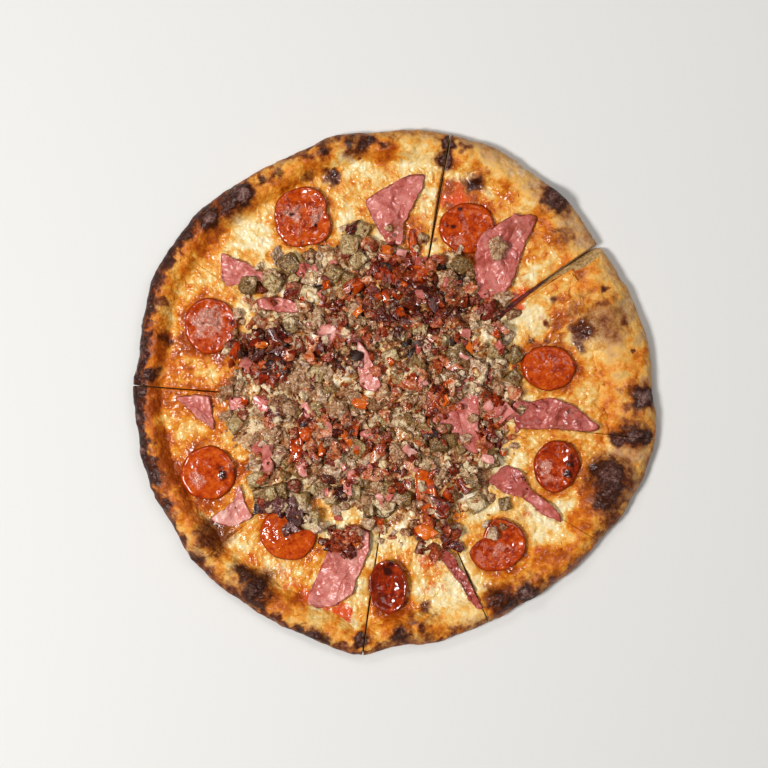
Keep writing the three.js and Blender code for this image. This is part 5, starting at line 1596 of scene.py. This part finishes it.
# Fried bacon, chopped: dark red-brown lean with lighter fat, glossy
bacon = meat_material("fried_bacon_bits", [
    (0.1, "#380A04"), (0.32, "#6E1A0A"), (0.52, "#9A3412"), (0.7, "#BE5C2C"), (0.9, "#DC9C6E")],
    (0.12, 0.34), (3, 1.1),
    (1.0, 0.3), sear=0.7, seared="#2C0B05", **{"Coat Weight": 0.3, "Coat Roughness": 0.12})
# The strip of bacon that burnt: nearly black, purplish inside
burnt_strip = meat_material("burnt_bacon_strip", [
    (0.1, "#1C0906"), (0.4, "#3A140E"), (0.65, "#5C2A22"), (0.9, "#80504A")],
    (0.15, 0.4), (3, 1.1), (1.0, 0.3), sear=0.3, seared="#170907", films=False)
# Fine crumb of all the meats
fine_crumb = meat_material("fine_meat_crumb", [
    (0.1, "#300E06"), (0.28, "#7A2C10"), (0.45, "#B0602A"), (0.62, "#C99A68"), (0.9, "#EFD9B2")],
    (0.18, 0.42), (2.5, 1.0), (0.5, 0.2), sear=0.4, films=False)
# Bits burnt nearly black
burnt = meat_material("burnt_bits", [(0.1, "#1C0F0A"), (0.5, "#33190F"), (0.8, "#4C2718"), (1.0, "#6B3A22")],
                      (0.3, 0.6), (3, 1.1), (0.5, 0.3), sear=0.3, seared="#1B0F0B", films=False)
bed = bed_material()
# Creamy cheese that rose through the meat
cream = meat_material("creamy_cheese", [
    (0.1, "#7A3612"), (0.28, "#B66C30"), (0.46, "#DCAC6C"), (0.66, "#EDD4A4"), (0.9, "#F7EACE")],
    (0.12, 0.3), (6, 2.0), (1.6, 0.4), sear=0.2, seared="#B9783C", films=False)

# ---------------------------------------------------------------- the pizza
crust_finish, cheese_finish = crust_material(), cheese_material()
for i in range(10):
    make_crust(i, crust_finish)
    make_cheese(i, cheese_finish)
sauce_finish = sauce_material()
for i in range(10):
    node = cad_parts[f"sauce_{i + 1:02d}"]
    node.data.materials.clear()
    node.data.materials.append(sauce_finish)

ground = Ground()
pepperoni_finish, ham_finish = pepperoni_material(), ham_material()
for k in range(len(PEPPERONI)):
    ground.cover(make_pepperoni(k, pepperoni_finish))
for k in range(len(HAM)):
    ground.cover(make_torn(k, ham_finish))
ground.cover(make_core(bed))

make_lumps("great_crumbles", "great", [*CRUMBLES, CRUMB_ON_HAM], sausage_crumble, 5, knobs=0.3, flat=0.5,
           sunk=0.4)
make_lumps("large_dice", "dice", [*DICE, *DICE_BY_THE_STRIP], sausage_dice, 7, flat=0.7, knobs=0.12, tilt=0.35,
           sunk=0.35)
make_lumps("bacon_strip", "bacon", BACON_STRIP, burnt_strip, 9, knobs=0.35, flat=0.55, long=(0.6, 0.9), tilt=0.4,
           sunk=0.3)
taken = [*CRUMBLES, *DICE]
dice_rows = strew(SAUSAGE_ZONES, 60, (7, 12), 11, 0.8, taken, 1.4)
make_lumps("small_dice", "dice", dice_rows, sausage_dice, 12, flat=0.75, knobs=0.14, tilt=0.6, sunk=0.4)
crumble_rows = strew(SAUSAGE_ZONES, 60, (6, 13), 13, 0.7, [*taken, *dice_rows], 1.0)
make_lumps("small_crumbles", "crumble", crumble_rows, sausage_crumble, 14, knobs=0.3, flat=0.6, sunk=0.45)
chip_rows = strew(EVERYWHERE, 240, (4, 10), 24, 0.5, taken)
make_lumps("sausage_chips", "bacon", chip_rows, sausage_crumble, 25, knobs=0.35, flat=0.6, long=(0.6, 1.0),
           tilt=0.7, sunk=0.4)
red_rows = [*LARGE_RED, *strew(BACON_ZONES, 60, (5, 11), 15, 0.6, taken)]
make_lumps("red_meat", "crumble", red_rows, red_meat, 16, knobs=0.3, flat=0.6, sunk=0.45)
bacon_rows = [*strew(BACON_ZONES, 430, (4, 11), 17, 0.42, taken, 1.3), *BACON_ON_HAM]
make_lumps("bacon_bits", "bacon", bacon_rows, bacon, 18, knobs=0.35, flat=0.5, long=(0.45, 0.9), tilt=0.6,
           sunk=0.4)
make_lumps("pepperoni_bits", "bacon", strew(BACON_ZONES, 50, (4, 11), 26, 0.5), pepperoni_finish, 27, knobs=0.35,
           flat=0.5, long=(0.5, 0.9), tilt=0.5, sunk=0.4, cured=(0, 0.25))
make_lumps("ham_bits", "bacon", strew(ALL_BUT_THE_EDGE, 45, (4, 11), 28, 0.5), ham_finish, 29, knobs=0.35,
           flat=0.45, long=(0.5, 0.9), tilt=0.5, sunk=0.4, cured=(0.3, 0.8))
make_lumps("burnt_bits", "bacon", BURNT_BITS, burnt, 19, knobs=0.45, flat=0.5, long=(0.5, 0.8), tilt=0.7,
           sunk=0.3)
make_strands(cream)
make_lumps("fine_crumbs", "crumb", strew(EVERYWHERE, 650, (1.1, 3.4), 22, 0.1), fine_crumb, 23,
           knobs=0.3, flat=0.7, tilt=1.0, sunk=0.25)

# ---------------------------------------------------------------- floor, light and camera
FLOOR_SIDE, FLOOR_GAP = 6, 0.0005  # metres
deselect()
bpy.ops.mesh.primitive_plane_add(size=FLOOR_SIDE, location=(0, 0, -FLOOR_GAP))
floor = named(bpy.context.object, "floor")
material, tree, face = material_of("pale_floor", **{"Base Color": "#E6E4E0", "Roughness": 0.8})
floor.data.materials.append(material)

world = bpy.data.worlds.new("studio")
bpy.context.scene.world = world
world.use_nodes = True
sky = world.node_tree.nodes["Background"].inputs
sky["Color"].default_value, sky["Strength"].default_value = (1, 1, 1, 1), 0.1


def lamp(name, place, size, power):
    """A soft lamp that looks at the pizza"""
    light = bpy.data.lights.new(name, "AREA")
    light.size, light.energy = size, power
    holder = bpy.data.objects.new(name, light)
    bpy.context.collection.objects.link(holder)
    holder.location = place
    a, b, c = place
    holder.rotation_euler = (math.atan2(math.hypot(a, b), c), 0, math.atan2(b, a) + math.pi / 2)


# Place and size in metres, power in watts
lamp("key_light", (-1.35, -0.4, 2.1), 0.55, 52)
lamp("fill_light", (1.3, 0.7, 2.4), 1.5, 16)
lamp("back_light", (-0.8, 1.6, 2.2), 0.7, 12)

VIEW_MIDDLE = (-0.0083, 0.0068)
VIEW_WIDTH = 0.599
VIEW_FROM = 1.2
CHEESE_TOP_LEVEL = 0.008  # metres: the width above is measured there
SENSOR = 36
camera = bpy.data.cameras.new("camera")
camera.sensor_width = SENSOR
camera.lens = SENSOR * (VIEW_FROM - CHEESE_TOP_LEVEL) / VIEW_WIDTH
eye = bpy.data.objects.new("camera", camera)
bpy.context.collection.objects.link(eye)
eye.location = (*VIEW_MIDDLE, VIEW_FROM)
bpy.context.scene.camera = eye
bpy.context.scene.view_settings.view_transform = "Standard"
